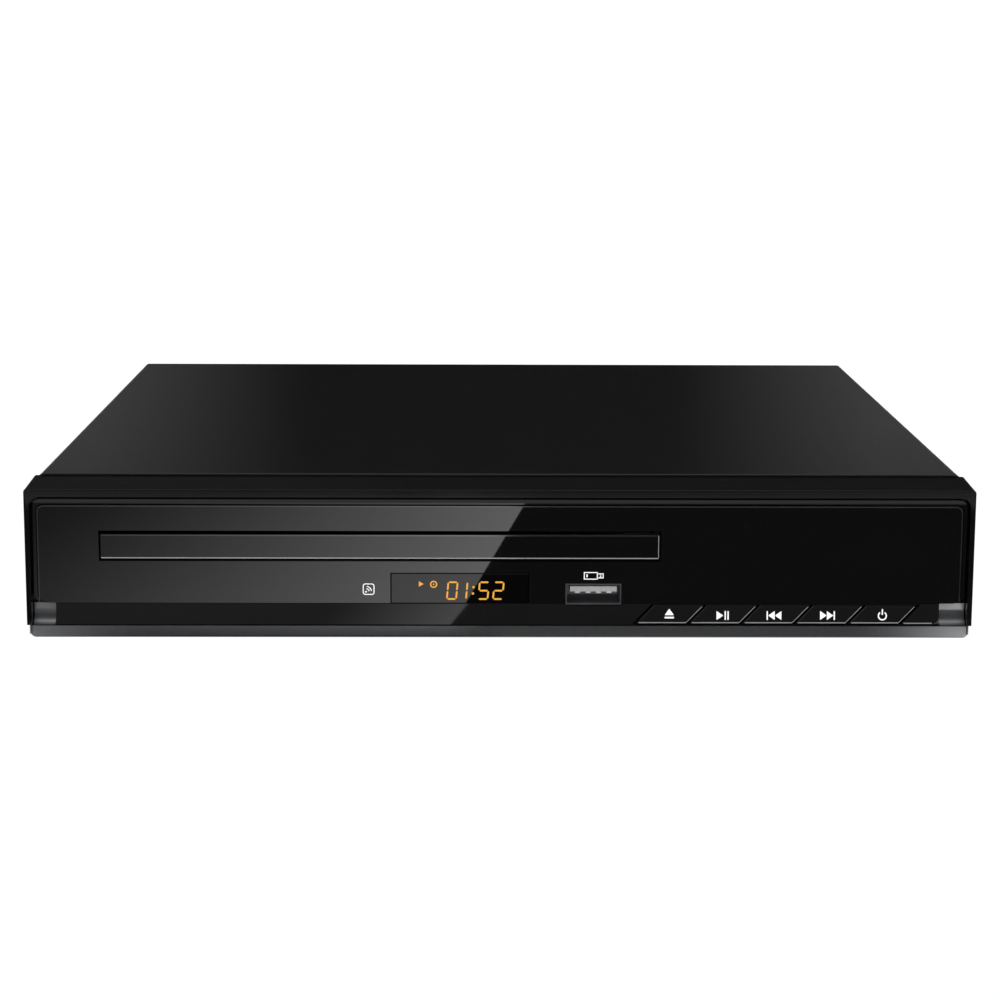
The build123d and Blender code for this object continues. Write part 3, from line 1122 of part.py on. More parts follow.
save(bottom_chassis.part, "bottom_chassis")

# Four rubber feet, each with a stud and a head that holds it in the floor
with BuildPart() as feet:
    for foot_x, foot_y in FOOT_PLACES:
        with Locations((foot_x, foot_y, FLOOR_BOTTOM / 2)):
            Cone(FOOT_DIAMETER / 2 - SHEET, FOOT_DIAMETER / 2, FLOOR_BOTTOM)
        post(foot_x, foot_y, (FLOOR_BOTTOM, FLOOR_TOP), FOOT_STUD)
        post(foot_x, foot_y, (FLOOR_TOP, FLOOR_TOP + SHEET), FOOT_STUD + 2 * SHEET)
save(feet.part, "feet")

# Boards with screw holes
with BuildPart() as main_board:
    block(MAIN_X, MAIN_Y, (MAIN_BOARD_Z, MAIN_TOP))
    for hole_x, hole_y in MAIN_SCREWS:
        post(hole_x, hole_y, (MAIN_BOARD_Z, MAIN_TOP), CLEAR_HOLE, mode=Mode.SUBTRACT)
save(main_board.part, "main_board")

with BuildPart() as power_board:
    block(POWER_X, POWER_Y, (POWER_BOARD_Z, POWER_TOP))
    for hole_x, hole_y in POWER_SCREWS:
        post(hole_x, hole_y, (POWER_BOARD_Z, POWER_TOP), CLEAR_HOLE, mode=Mode.SUBTRACT)
save(power_board.part, "power_board")

# Every screw inside: front board, loader legs and both lower boards
with BuildPart() as inner_screws:
    for boss_x, boss_z in BOSS_PLACES:
        rod(boss_x, (WALL_BACK + SEAT, FRONT_BOARD_BACK), boss_z, SHANK)
        rod(boss_x, (FRONT_BOARD_BACK, FRONT_BOARD_BACK + SCREW_HEAD_HEIGHT), boss_z, SCREW_HEAD)
    for leg_x, leg_y in LEG_PLACES:
        post(leg_x, leg_y, (FLOOR_TOP, PLATE_TOP), SHANK)
        post(leg_x, leg_y, (PLATE_TOP, PLATE_TOP + SCREW_HEAD_HEIGHT), SCREW_HEAD)
    for screw_x, screw_y in MAIN_SCREWS:
        post(screw_x, screw_y, (FLOOR_TOP, MAIN_TOP), SHANK)
        post(screw_x, screw_y, (MAIN_TOP, MAIN_TOP + SCREW_HEAD_HEIGHT), SCREW_HEAD)
    for screw_x, screw_y in POWER_SCREWS:
        post(screw_x, screw_y, (FLOOR_TOP, POWER_TOP), SHANK)
        post(screw_x, screw_y, (POWER_TOP, POWER_TOP + SCREW_HEAD_HEIGHT), SCREW_HEAD)
save(inner_screws.part, "inner_screws")

# Cable sockets on the main and front boards and the flat cable that joins them beside the loader
CABLE_X = (LOADER_RIGHT + 2 * RUN, POWER_X[0] - 2 * RUN)
CABLE_SOCKET = 4.0
CABLE_SHEET = 0.4
CABLE_LOOP = 5.0
CABLE_BEND = 1.5
CABLE_LOW = FLOOR_TOP + 2 * CABLE_SHEET
MAIN_SOCKET_Y = MAIN_Y[0] + SHEET
FRONT_SOCKET_Z = MAIN_TOP + CABLE_SOCKET / 2
FRONT_SOCKET_Y = FRONT_BOARD_BACK + CABLE_SOCKET
with BuildPart() as cable_sockets:
    block(CABLE_X, (MAIN_SOCKET_Y, MAIN_SOCKET_Y + CABLE_SOCKET), (MAIN_TOP, MAIN_TOP + CABLE_SOCKET))
    block(CABLE_X, (FRONT_BOARD_BACK, FRONT_SOCKET_Y), around(FRONT_SOCKET_Z, CABLE_SOCKET))
save(cable_sockets.part, "cable_sockets")

with BuildPart() as flat_cable:
    with BuildSketch(Plane.YZ.offset(CABLE_X[0] + SHEET)):
        with BuildLine():
            FilletPolyline(
                (MAIN_SOCKET_Y, FRONT_SOCKET_Z),
                (MAIN_Y[0] - CABLE_LOOP, FRONT_SOCKET_Z),
                (MAIN_Y[0] - CABLE_LOOP, CABLE_LOW),
                (FRONT_SOCKET_Y + CABLE_LOOP, CABLE_LOW),
                (FRONT_SOCKET_Y + CABLE_LOOP, FRONT_SOCKET_Z),
                (FRONT_SOCKET_Y, FRONT_SOCKET_Z),
                radius=CABLE_BEND,
            )
        trace(line_width=CABLE_SHEET)
    extrude(amount=CABLE_X[1] - CABLE_X[0] - 2 * SHEET)
save(flat_cable.part, "flat_cable")

# Parts of the power supply
POWER_MIDDLE_X = (POWER_X[0] + POWER_X[1]) / 2
TRANSFORMER_SIDE = 24.0
TRANSFORMER_HEIGHT = 20.0
TRANSFORMER_Y = (POWER_Y[0] + POWER_Y[1]) / 2
with BuildPart() as transformer:
    block(
        around(POWER_MIDDLE_X, TRANSFORMER_SIDE),
        around(TRANSFORMER_Y, TRANSFORMER_SIDE),
        (POWER_TOP, POWER_TOP + TRANSFORMER_HEIGHT),
    )
    for level in (POWER_TOP + TRANSFORMER_HEIGHT / 4, POWER_TOP + 3 * TRANSFORMER_HEIGHT / 4):
        for side in (-1, 1):
            block(
                around(POWER_MIDDLE_X + side * TRANSFORMER_SIDE / 2, SHEET * 4),
                around(TRANSFORMER_Y, TRANSFORMER_SIDE),
                around(level, TRANSFORMER_HEIGHT / 5),
                mode=Mode.SUBTRACT,
            )
save(transformer.part, "transformer")

CAPACITOR_LARGE = 18.0
CAPACITOR_COUNT = 4
CAPACITOR_GAP = 1.7
CAPACITOR_PITCH = (POWER_X[1] - POWER_X[0]) / (CAPACITOR_COUNT + 2)
CAPACITOR_SMALL = CAPACITOR_PITCH - CAPACITOR_GAP
with BuildPart() as power_capacitors:
    post(
        POWER_MIDDLE_X,
        TRANSFORMER_Y + TRANSFORMER_SIDE + SEAT,
        (POWER_TOP, POWER_TOP + TRANSFORMER_HEIGHT),
        CAPACITOR_LARGE,
    )
    for index in range(CAPACITOR_COUNT):
        post(
            POWER_MIDDLE_X + (index - (CAPACITOR_COUNT - 1) / 2) * CAPACITOR_PITCH,
            TRANSFORMER_Y - TRANSFORMER_SIDE,
            (POWER_TOP, POWER_TOP + TRANSFORMER_HEIGHT / 2),
            CAPACITOR_SMALL,
        )
save(power_capacitors.part, "power_capacitors")

FIN_COUNT = 6
FIN_PITCH = 4.0
FIN_SHEET = 1.2
SINK_SETBACK = 20.0
SINK_Y = POWER_Y[1] - SINK_SETBACK
with BuildPart() as heat_sink:
    block(
        around(POWER_MIDDLE_X, FIN_COUNT * FIN_PITCH),
        (SINK_Y, SINK_Y + FIN_SHEET),
        (POWER_TOP, POWER_TOP + TRANSFORMER_HEIGHT),
    )
    for index in range(FIN_COUNT):
        fin_x = POWER_MIDDLE_X + (index - (FIN_COUNT - 1) / 2) * FIN_PITCH
        block(
            around(fin_x, FIN_SHEET),
            (SINK_Y + FIN_SHEET, SINK_Y + 8 * FIN_SHEET),
            (POWER_TOP, POWER_TOP + TRANSFORMER_HEIGHT),
        )
save(heat_sink.part, "heat_sink")

# Rear sockets on the main board
AV_Y = (REAR_Y + AV_FLANGE - AV_SOCKET_DEPTH, REAR_Y + AV_FLANGE)
AV_Z = (MAIN_TOP, MAIN_TOP + AV_SOCKET_HEIGHT)
AV_X = around(AV_SOCKET_X, AV_SOCKET_WIDTH)
AV_MIDDLE_Z = (AV_Z[0] + AV_Z[1]) / 2
AV_GROOVE = 1.2
AV_GROOVE_DEPTH = 8.0
AV_RIM = 1.6
AV_SLOT = (1.0, 3.4)
with BuildPart() as av_socket:
    block(AV_X, AV_Y, AV_Z)
    with BuildSketch(Plane.XZ.offset(-AV_Y[1])):
        with Locations((AV_SOCKET_X, AV_MIDDLE_Z)):
            Rectangle(AV_SOCKET_WIDTH - 2 * AV_RIM, AV_SOCKET_HEIGHT - 2 * AV_RIM)
            Rectangle(
                AV_SOCKET_WIDTH - 2 * AV_RIM - 2 * AV_GROOVE,
                AV_SOCKET_HEIGHT - 2 * AV_RIM - 2 * AV_GROOVE,
                mode=Mode.SUBTRACT,
            )
        with Locations((AV_SOCKET_X, AV_MIDDLE_Z + AV_SLOT[1] / 2 + AV_SLOT[0] / 4)):
            with GridLocations(AV_PIN_PITCH, AV_SLOT[1], AV_PIN_COUNT, 1):
                Rectangle(*AV_SLOT)
        with Locations((AV_SOCKET_X, AV_MIDDLE_Z - AV_SLOT[1] / 2 - AV_SLOT[0] / 4)):
            with GridLocations(AV_PIN_PITCH, AV_SLOT[1], AV_PIN_COUNT, 1):
                Rectangle(*AV_SLOT)
    extrude(amount=AV_GROOVE_DEPTH, mode=Mode.SUBTRACT)
save(av_socket.part, "av_socket")

VIDEO_X = around(VIDEO_SOCKET_X, VIDEO_SOCKET_WIDTH)
VIDEO_Z = (MAIN_TOP, MAIN_TOP + VIDEO_SOCKET_HEIGHT)
VIDEO_Y = (REAR_Y + VIDEO_SHELL - VIDEO_SOCKET_DEPTH, REAR_Y + VIDEO_SHELL)
VIDEO_INSIDE_X = (VIDEO_X[0] + VIDEO_SHELL, VIDEO_X[1] - VIDEO_SHELL)
VIDEO_INSIDE_Z = (VIDEO_Z[0] + VIDEO_SHELL, VIDEO_Z[1] - VIDEO_SHELL)
VIDEO_ROOT = VIDEO_Y[0] + 4 * VIDEO_SHELL
VIDEO_TONGUE = (10.4, 1.7)
with BuildPart() as video_socket_shell:
    block(VIDEO_X, VIDEO_Y, VIDEO_Z)
    block(VIDEO_INSIDE_X, VIDEO_Y, VIDEO_INSIDE_Z, mode=Mode.SUBTRACT)
save(video_socket_shell.part, "video_socket_shell")

with BuildPart() as video_socket_tongue:
    block(VIDEO_INSIDE_X, (VIDEO_Y[0], VIDEO_ROOT), VIDEO_INSIDE_Z)
    block(
        around(VIDEO_SOCKET_X, VIDEO_TONGUE[0]),
        (VIDEO_ROOT, VIDEO_Y[1] - VIDEO_SHELL),
        around((VIDEO_Z[0] + VIDEO_Z[1]) / 2, VIDEO_TONGUE[1]),
    )
save(video_socket_tongue.part, "video_socket_tongue")

JACK_SIDE = 2 * JACK_RADIUS + 2 * JACK_HOLE
JACK_Z = MAIN_TOP + JACK_SIDE / 2
JACK_FACE = CHASSIS_BACK - SEAT
JACK_END = REAR_Y + JACK_REACH
JACK_INNER = JACK_RADIUS - SHEET
JACK_COLLAR = JACK_RADIUS + SHEET
with BuildPart() as coax_jack_body:
    block(around(JACK_X, JACK_SIDE), (JACK_FACE - JACK_BODY, JACK_FACE), around(JACK_Z, JACK_SIDE))
    rod(JACK_X, (JACK_FACE, JACK_END - SHEET), JACK_Z, 2 * JACK_INNER)
    rod(JACK_X, (JACK_FACE, JACK_END), JACK_Z, 2 * JACK_HOLE, mode=Mode.SUBTRACT)
save(coax_jack_body.part, "coax_jack_body")

with BuildPart() as coax_jack_barrel:
    rod(JACK_X, (JACK_FACE, JACK_END), JACK_Z, 2 * JACK_RADIUS)
    rod(JACK_X, (JACK_FACE, REAR_Y + SHEET), JACK_Z, 2 * JACK_COLLAR)
    rod(JACK_X, (JACK_FACE, JACK_END), JACK_Z, 2 * JACK_INNER, mode=Mode.SUBTRACT)
save(coax_jack_barrel.part, "coax_jack_barrel")

# Chips on the main board, one in each gap between the sockets
CHIP_HEIGHT = 1.4
CHIP_FILL = 0.72
CHIP_DEPTH_SHARES = (0.37, 0.6, 0.66)
CHIP_GAPS = [
    (AV_X[1], VIDEO_X[0]),
    (VIDEO_X[1], JACK_X - JACK_SIDE / 2),
    (JACK_X + JACK_SIDE / 2, CABLE_X[0]),
]
CHIP_Y = (MAIN_Y[0] + MAIN_Y[1]) / 2
with BuildPart() as main_board_chips:
    for gap, share in zip(CHIP_GAPS, CHIP_DEPTH_SHARES):
        block(
            around((gap[0] + gap[1]) / 2, CHIP_FILL * (gap[1] - gap[0])),
            around(CHIP_Y, share * MAIN_BOARD_DEPTH),
            (MAIN_TOP, MAIN_TOP + CHIP_HEIGHT),
        )
save(main_board_chips.part, "main_board_chips")

# Mains inlet with two pins in a rounded recess
INLET_RIM = 1.5
INLET_FLOOR = REAR_Y + INLET_FLANGE - INLET_DEPTH + 2 * INLET_RIM
INLET_BODY_X = around(INLET_X, INLET_WIDTH - 2 * INLET_RIM)
INLET_BODY_Z = around(INLET_Z, INLET_HEIGHT - 2 * INLET_RIM)
with BuildPart() as mains_inlet:
    block(
        around(INLET_X, INLET_WIDTH),
        (REAR_Y, REAR_Y + INLET_FLANGE),
        around(INLET_Z, INLET_HEIGHT),
    )
    block(INLET_BODY_X, (REAR_Y + INLET_FLANGE - INLET_DEPTH, REAR_Y), INLET_BODY_Z)
    with BuildSketch(Plane.XZ.offset(-REAR_Y - INLET_FLANGE)):
        with Locations((INLET_X, INLET_Z)):
            SlotOverall(INLET_CAVITY_WIDTH, INLET_CAVITY_HEIGHT)
    extrude(amount=REAR_Y + INLET_FLANGE - INLET_FLOOR, mode=Mode.SUBTRACT)
save(mains_inlet.part, "mains_inlet")

with BuildPart() as mains_inlet_pins:
    for side in (-1, 1):
        pin_x = INLET_X + side * INLET_PIN_SPACING / 2
        rod(pin_x, (INLET_FLOOR, REAR_Y - INLET_RIM), INLET_Z, INLET_PIN)
save(mains_inlet_pins.part, "mains_inlet_pins")

# Rear panel with a cut-out for each socket, screw holes and vents
PANEL_Y = (REAR_Y - SHEET, REAR_Y)
REAR_PANEL_TOP = CASE_HEIGHT - SHEET - SEAT
REAR_VENT_X = (JACK_X + INLET_X) / 2
REAR_VENT_Z = (MAIN_TOP + REAR_PANEL_TOP) / 2
with BuildPart() as rear_panel:
    block((-CHASSIS_HALF, CHASSIS_HALF), PANEL_Y, (FLOOR_BOTTOM, REAR_PANEL_TOP))
    block((AV_X[0] - SEAT, AV_X[1] + SEAT), PANEL_Y, (AV_Z[0] - SEAT, AV_Z[1] + SEAT), mode=Mode.SUBTRACT)
    block(
        (VIDEO_X[0] - SEAT, VIDEO_X[1] + SEAT),
        PANEL_Y,
        (VIDEO_Z[0] - SEAT, VIDEO_Z[1] + SEAT),
        mode=Mode.SUBTRACT,
    )
    rod(JACK_X, PANEL_Y, JACK_Z, 2 * (JACK_COLLAR + SEAT), mode=Mode.SUBTRACT)
    block(
        (INLET_BODY_X[0] - SEAT, INLET_BODY_X[1] + SEAT),
        PANEL_Y,
        (INLET_BODY_Z[0] - SEAT, INLET_BODY_Z[1] + SEAT),
        mode=Mode.SUBTRACT,
    )
    for screw_x in REAR_SCREW_PLACES:
        rod(screw_x, PANEL_Y, REAR_SCREW_Z, SCREW_DIAMETER, mode=Mode.SUBTRACT)
    with BuildSketch(Plane.XZ.offset(-REAR_Y)):
        with Locations((REAR_VENT_X, REAR_VENT_Z)):
            with GridLocations(VENT_PITCH, VENT_LENGTH, VENT_COUNT // 2, 1):
                SlotOverall(VENT_LENGTH, VENT_WIDTH, rotation=90)
    extrude(amount=SHEET, mode=Mode.SUBTRACT)
save(rear_panel.part, "rear_panel")

# Top cover: one folded sheet with side vents and a flange over the rear panel
SIDE_VENT_Z = (CASE_HEIGHT + FLOOR_TOP + SIDE_FLANGE) / 2
SIDE_VENT_Y = REAR_Y - VENT_COUNT * VENT_PITCH
with BuildPart() as top_cover:
    with BuildSketch(Plane.XZ.offset(-COVER_FRONT)):
        with Locations((0, (CASE_HEIGHT + COVER_BOTTOM) / 2)):
            Rectangle(2 * COVER_HALF, CASE_HEIGHT - COVER_BOTTOM)
        fillet(vertices().sort_by(Axis.Y)[-2:], radius=COVER_BEND)
    extrude(amount=-(COVER_BACK - COVER_FRONT))
    with BuildSketch(Plane.XZ.offset(-COVER_FRONT)):
        with Locations((0, (CASE_HEIGHT - SHEET + COVER_BOTTOM) / 2)):
            Rectangle(2 * (COVER_HALF - SHEET), CASE_HEIGHT - SHEET - COVER_BOTTOM)
        fillet(vertices().sort_by(Axis.Y)[-2:], radius=COVER_BEND - SHEET)
    extrude(amount=-(REAR_Y - COVER_FRONT), mode=Mode.SUBTRACT)
    block(
        (-COVER_HALF + SHEET, COVER_HALF - SHEET),
        (REAR_Y, COVER_BACK),
        (COVER_BOTTOM, CASE_HEIGHT - REAR_FLANGE),
        mode=Mode.SUBTRACT,
    )
    for screw_x in REAR_SCREW_PLACES:
        rod(screw_x, (REAR_Y, COVER_BACK), REAR_SCREW_Z, SCREW_DIAMETER, mode=Mode.SUBTRACT)
    for screw_y in SIDE_SCREW_PLACES:
        crossbar((-CASE_WIDTH / 2, CASE_WIDTH / 2), screw_y, SIDE_SCREW_Z, SCREW_DIAMETER, mode=Mode.SUBTRACT)
    with BuildSketch(Plane.YZ.offset(-COVER_HALF)):
        with Locations((SIDE_VENT_Y, SIDE_VENT_Z)):
            with GridLocations(VENT_PITCH, VENT_LENGTH, VENT_COUNT, 1):
                SlotOverall(VENT_LENGTH, VENT_WIDTH, rotation=90)
    extrude(amount=2 * COVER_HALF, mode=Mode.SUBTRACT)
    front_edges = top_cover.faces().sort_by(Axis.Y)[0].edges()
    chamfer(front_edges.sort_by(Axis.Z)[-1], length=COVER_EDGE)
save(top_cover.part, "top_cover")

with BuildPart() as cover_screws:
    for side in (-1, 1):
        outside = side * COVER_HALF
        inside = side * (CHASSIS_HALF - 2 * SHEET)
        for screw_y in SIDE_SCREW_PLACES:
            crossbar(sorted((inside, outside)), screw_y, SIDE_SCREW_Z, SHANK)
            head = sorted((outside, outside + side * COVER_SCREW_HEAD))
            crossbar(head, screw_y, SIDE_SCREW_Z, SCREW_HEAD)
    for screw_x in REAR_SCREW_PLACES:
        rod(screw_x, (REAR_Y - 3 * SHEET, COVER_BACK), REAR_SCREW_Z, SHANK)
        rod(screw_x, (COVER_BACK, COVER_BACK + COVER_SCREW_HEAD), REAR_SCREW_Z, SCREW_HEAD)
save(cover_screws.part, "cover_screws")
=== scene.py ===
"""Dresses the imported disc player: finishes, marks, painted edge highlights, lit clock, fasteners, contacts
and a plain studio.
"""

import logging
from dataclasses import dataclass
from enum import Enum
from math import cos, pi, radians, sin
from typing import Any, ClassVar, Sequence

import bmesh
import bpy
from mathutils import Matrix, Vector


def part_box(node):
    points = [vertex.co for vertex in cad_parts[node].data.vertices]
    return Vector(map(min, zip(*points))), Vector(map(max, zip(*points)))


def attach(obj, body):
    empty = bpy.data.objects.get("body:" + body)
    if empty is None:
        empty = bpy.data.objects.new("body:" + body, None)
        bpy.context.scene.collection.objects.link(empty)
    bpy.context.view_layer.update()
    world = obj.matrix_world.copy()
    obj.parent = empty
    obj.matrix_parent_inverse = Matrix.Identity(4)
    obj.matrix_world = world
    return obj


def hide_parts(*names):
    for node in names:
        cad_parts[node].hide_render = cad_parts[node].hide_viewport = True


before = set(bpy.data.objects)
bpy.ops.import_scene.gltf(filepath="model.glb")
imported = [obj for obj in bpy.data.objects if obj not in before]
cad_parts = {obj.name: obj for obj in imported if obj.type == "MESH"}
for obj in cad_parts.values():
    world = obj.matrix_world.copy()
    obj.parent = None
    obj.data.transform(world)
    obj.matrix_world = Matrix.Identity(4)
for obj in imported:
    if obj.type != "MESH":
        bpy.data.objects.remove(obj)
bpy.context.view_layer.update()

LOG = logging.getLogger("disc_player")
MM = 0.001
# Thickness of a print, drawn thick enough to show.
INK_MM = 0.03
# Turns the upper corners of a hexagon of radius one into half of a bar's width.
HEXAGON_HALF = 0.57735
# Named inputs of the contacts' tree.
BLADE_SIZES = ("Width", "Thickness", "Length", "Tip")
# How much a screw's dome draws in at its top, and a contact's tip at its end.
DOME_DRAW, TIP_SHARE = 0.36, 0.45
# Corners nearer than this are one, in metres.
WELD = 0.00001
Point = tuple[float, float]
Spot = tuple[float, float, float]
NodeTree = bpy.types.NodeTree
Socket = bpy.types.NodeSocket
Outline = list[Point]
# Place and turn of a copy, in metres and radians.
Placing = tuple[Sequence[float], Sequence[float]]
Inputs = dict[Any, Any]


def linear(code: str) -> tuple[float, float, float, float]:
    """Turns an sRGB hex colour into linear light.

    Args:
        code: Six hex digits after a hash.

    Returns:
        Red, green and blue in linear light, with an alpha of one.
    """
    steps = [int(code[start : start + 2], 16) / 255 for start in (1, 3, 5)]
    red, green, blue = [s / 12.92 if s <= 0.04045 else ((s + 0.055) / 1.055) ** 2.4 for s in steps]
    return red, green, blue, 1.0


def mm(*sizes: float) -> tuple[float, ...]:
    """Returns sizes or places, given in millimetres, in metres."""
    return tuple(size * MM for size in sizes)


def solid_box(node: str) -> tuple[Vector, Vector]:
    """Returns the lowest and highest corner of a solid of the frame, in millimetres."""
    low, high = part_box(node)
    return low / MM, high / MM


def solid_middle(node: str) -> Vector:
    """Returns the middle of a solid's box, in millimetres."""
    low, high = solid_box(node)
    return (low + high) / 2


def add_node(tree: NodeTree, kind: str, inputs: Inputs | None = None, **settings: Any) -> bpy.types.Node:
    """Adds a node with its settings and links.

    Args:
        tree: Tree that takes the node.
        kind: Blender's identifier of the node.
        inputs: Values, or sockets to link from, by the input's name or index.
        settings: Properties of the node.

    Returns:
        The new node.
    """
    node = tree.nodes.new(kind)
    for name, value in settings.items():
        setattr(node, name, value)
    for name, value in (inputs or {}).items():
        if isinstance(value, Socket):
            tree.links.new(value, node.inputs[name])
        else:
            node.inputs[name].default_value = value
    return node


class Grain(Enum):
    """How the fine relief of a surface came about."""

    POLISHED = "polished tool"
    PEEL = "sprayed or baked coat"
    SPARK = "spark-eroded tool"
    BRUSHED = "drawn or turned metal"
    SPANGLE = "zinc crystals"
    FLAKE = "metal flake in lacquer"
    TRACKS = "copper tracks under a mask"


class Surface:
    """Anything that dresses a mesh; its material is made once and kept under its name."""

    name: str

    def shader(self, tree: NodeTree, place: Socket) -> Socket:
        """Adds the nodes that make this surface what it is.

        Args:
            tree: Tree of the material.
            place: Object coordinates.

        Returns:
            The shader that the material shows.
        """
        raise NotImplementedError

    def material(self) -> bpy.types.Material:
        """Builds the material at its first use.

        Returns:
            The material of this surface.
        """
        made = bpy.data.materials.get(self.name)
        if made:
            return made
        made = bpy.data.materials.new(self.name)
        made.use_nodes = True
        tree = made.node_tree
        tree.nodes.clear()
        place = add_node(tree, "ShaderNodeTexCoord").outputs["Object"]
        add_node(tree, "ShaderNodeOutputMaterial", {"Surface": self.shader(tree, place)})
        return made


@dataclass(frozen=True)
class Finish(Surface):
    """One real surface, from its stuff and the way it was made.

    Attributes:
        name: Common name of the material and its making.
        slot: Slot of the record that it stands for; not used by this script.
        base: Main colour.
        shade: Colour that it drifts to.
        roughness: Typical roughness.
        spread: How far the roughness drifts.
        metallic: One for bare metal.
        ior: Index of refraction.
        coat: Weight of a clear lacquer.
        grain: Kind of fine relief.
        grain_mm: Real size of the relief.
        relief_mm: Height of the relief.
        drift_mm: Real size of the drift in colour and roughness.
        stretch: Scale of the relief along each axis, small along a brushed direction.
    """

    name: str
    slot: str
    base: str
    shade: str
    roughness: float
    spread: float = 0.04
    metallic: float = 0.0
    ior: float = 1.5
    coat: float = 0.0
    grain: Grain = Grain.PEEL
    grain_mm: float = 0.6
    relief_mm: float = 0.008
    drift_mm: float = 14.0
    stretch: tuple[float, float, float] = (1.0, 1.0, 1.0)

    def relief(self, tree: NodeTree, place: Socket) -> tuple[Socket, Socket]:
        """Adds the texture of the fine relief.

        Args:
            tree: Tree of the material.
            place: Object coordinates.

        Returns:
            Height of the relief, and a factor for the second colour.
        """
        scale = 1.0 / (self.grain_mm * MM)
        lay = add_node(tree, "ShaderNodeMapping", {"Vector": place, "Scale": self.stretch}).outputs[0]
        if self.grain in (Grain.SPANGLE, Grain.FLAKE):
            cells = add_node(tree, "ShaderNodeTexVoronoi", {"Vector": lay, "Scale": scale})
            tone = add_node(tree, "ShaderNodeSeparateColor", {0: cells.outputs["Color"]}).outputs[0]
            return cells.outputs["Distance"], tone
        if self.grain is Grain.TRACKS:
            track = {"Mortar Size": 0.09, "Mortar Smooth": 0.2, "Brick Width": 2.3, "Row Height": 0.35}
            rows = add_node(tree, "ShaderNodeTexBrick", {"Vector": lay, "Scale": scale, **track}, offset=0.37)
            return rows.outputs["Fac"], rows.outputs["Fac"]
        detail = {Grain.POLISHED: 1.0, Grain.PEEL: 2.0, Grain.SPARK: 7.0, Grain.BRUSHED: 4.0}[self.grain]
        fine = {"Vector": lay, "Scale": scale, "Detail": detail, "Roughness": 0.6}
        slow = {"Vector": lay, "Scale": 1.0 / (self.drift_mm * MM), "Detail": 3.0}
        noise = add_node(tree, "ShaderNodeTexNoise", fine)
        drift = add_node(tree, "ShaderNodeTexNoise", slow)
        tone = add_node(tree, "ShaderNodeMapRange", {0: drift.outputs["Fac"], 1: 0.32, 2: 0.68}).outputs[0]
        return noise.outputs["Fac"], tone

    def shader(self, tree: NodeTree, place: Socket) -> Socket:
        """Joins colour, roughness and relief; see Surface.shader."""
        height, tone = self.relief(tree, place)
        colours = {0: tone, 6: linear(self.base), 7: linear(self.shade)}
        low, high = max(0.0, self.roughness - self.spread), min(1.0, self.roughness + self.spread)
        bump = {"Height": height, "Distance": self.relief_mm * MM, "Strength": 1.0}
        skin = {
            "Base Color": add_node(tree, "ShaderNodeMix", colours, data_type="RGBA").outputs[2],
            "Roughness": add_node(tree, "ShaderNodeMapRange", {0: tone, 3: low, 4: high}).outputs[0],
            "Normal": add_node(tree, "ShaderNodeBump", bump).outputs[0],
            "Metallic": self.metallic,
            "IOR": self.ior,
            "Coat Weight": self.coat,
            "Coat Roughness": 0.06,
        }
        return add_node(tree, "ShaderNodeBsdfPrincipled", skin).outputs[0]


@dataclass(frozen=True)
class ClearFinish(Surface):
    """Clear or tinted moulding that light passes through.

    Attributes:
        name: Common name of the material.
        slot: Slot of the record that it stands for; not used by this script.
        tint: Colour that the light takes on.
        roughness: Roughness of the polished face.
        ior: Index of refraction.
        clear: Share of light that passes.
        ripple_mm: Width of the moulding's faint ripple.
        relief_mm: Height of the ripple.
    """

    name: str
    slot: str
    tint: str
    roughness: float
    ior: float
    clear: float = 1.0
    ripple_mm: float = 18.0
    relief_mm: float = 0.004

    def shader(self, tree: NodeTree, place: Socket) -> Socket:
        """Lets light through a faintly rippled face; see Surface.shader."""
        waves = {"Vector": place, "Scale": 1.0 / (self.ripple_mm * MM), "Detail": 1.0}
        ripple = add_node(tree, "ShaderNodeTexNoise", waves).outputs["Fac"]
        bump = {"Height": ripple, "Distance": self.relief_mm * MM}
        skin = {
            "Base Color": linear(self.tint),
            "Roughness": self.roughness,
            "IOR": self.ior,
            "Transmission Weight": self.clear,
            "Normal": add_node(tree, "ShaderNodeBump", bump).outputs[0],
        }
        return add_node(tree, "ShaderNodeBsdfPrincipled", skin).outputs[0]


@dataclass(frozen=True)
class LitFinish(Surface):
    """Phosphor or lamp that gives light by itself.

    Attributes:
        name: Common name of the material.
        slot: Slot of the record that it lies on; not used by this script.
        glow: Colour of the light.
        power: Strength of the light.
        unlit: Colour of the phosphor itself.
        uneven: How far the light drifts, as a share.
        grain_mm: Width of the phosphor's grains, drawn coarse enough to show.
    """

    name: str
    slot: str
    glow: str
    power: float
    unlit: str = "#2a1606"
    uneven: float = 0.2
    grain_mm: float = 0.12

    def shader(self, tree: NodeTree, place: Socket) -> Socket:
        """Lights the phosphor a little unevenly; see Surface.shader."""
        grit = {"Vector": place, "Scale": 1.0 / (self.grain_mm * MM), "Detail": 2.0}
        grains = add_node(tree, "ShaderNodeTexNoise", grit).outputs["Fac"]
        power = {0: grains, 3: (1 - self.uneven) * self.power, 4: (1 + self.uneven) * self.power}
        skin = {
            "Base Color": linear(self.unlit),
            "Roughness": 0.6,
            "Emission Color": linear(self.glow),
            "Emission Strength": add_node(tree, "ShaderNodeMapRange", power).outputs[0],
        }
        return add_node(tree, "ShaderNodeBsdfPrincipled", skin).outputs[0]


# Polyester powder baked on sheet steel: deep black with a soft, faintly pebbled sheen.
POWDER_COAT = Finish(
    "satin_black_powder_coat", "satin_black_steel", "#050506", "#060607", 0.21, 0.006, grain_mm=0.5,
    relief_mm=0.0002,
)
# Stoved paint on the rear sheet: flatter and greyer than the lid.
STOVED_PAINT = Finish(
    "matt_black_stoved_paint", "black_steel", "#121213", "#171718", 0.58, 0.05, grain_mm=0.35
)
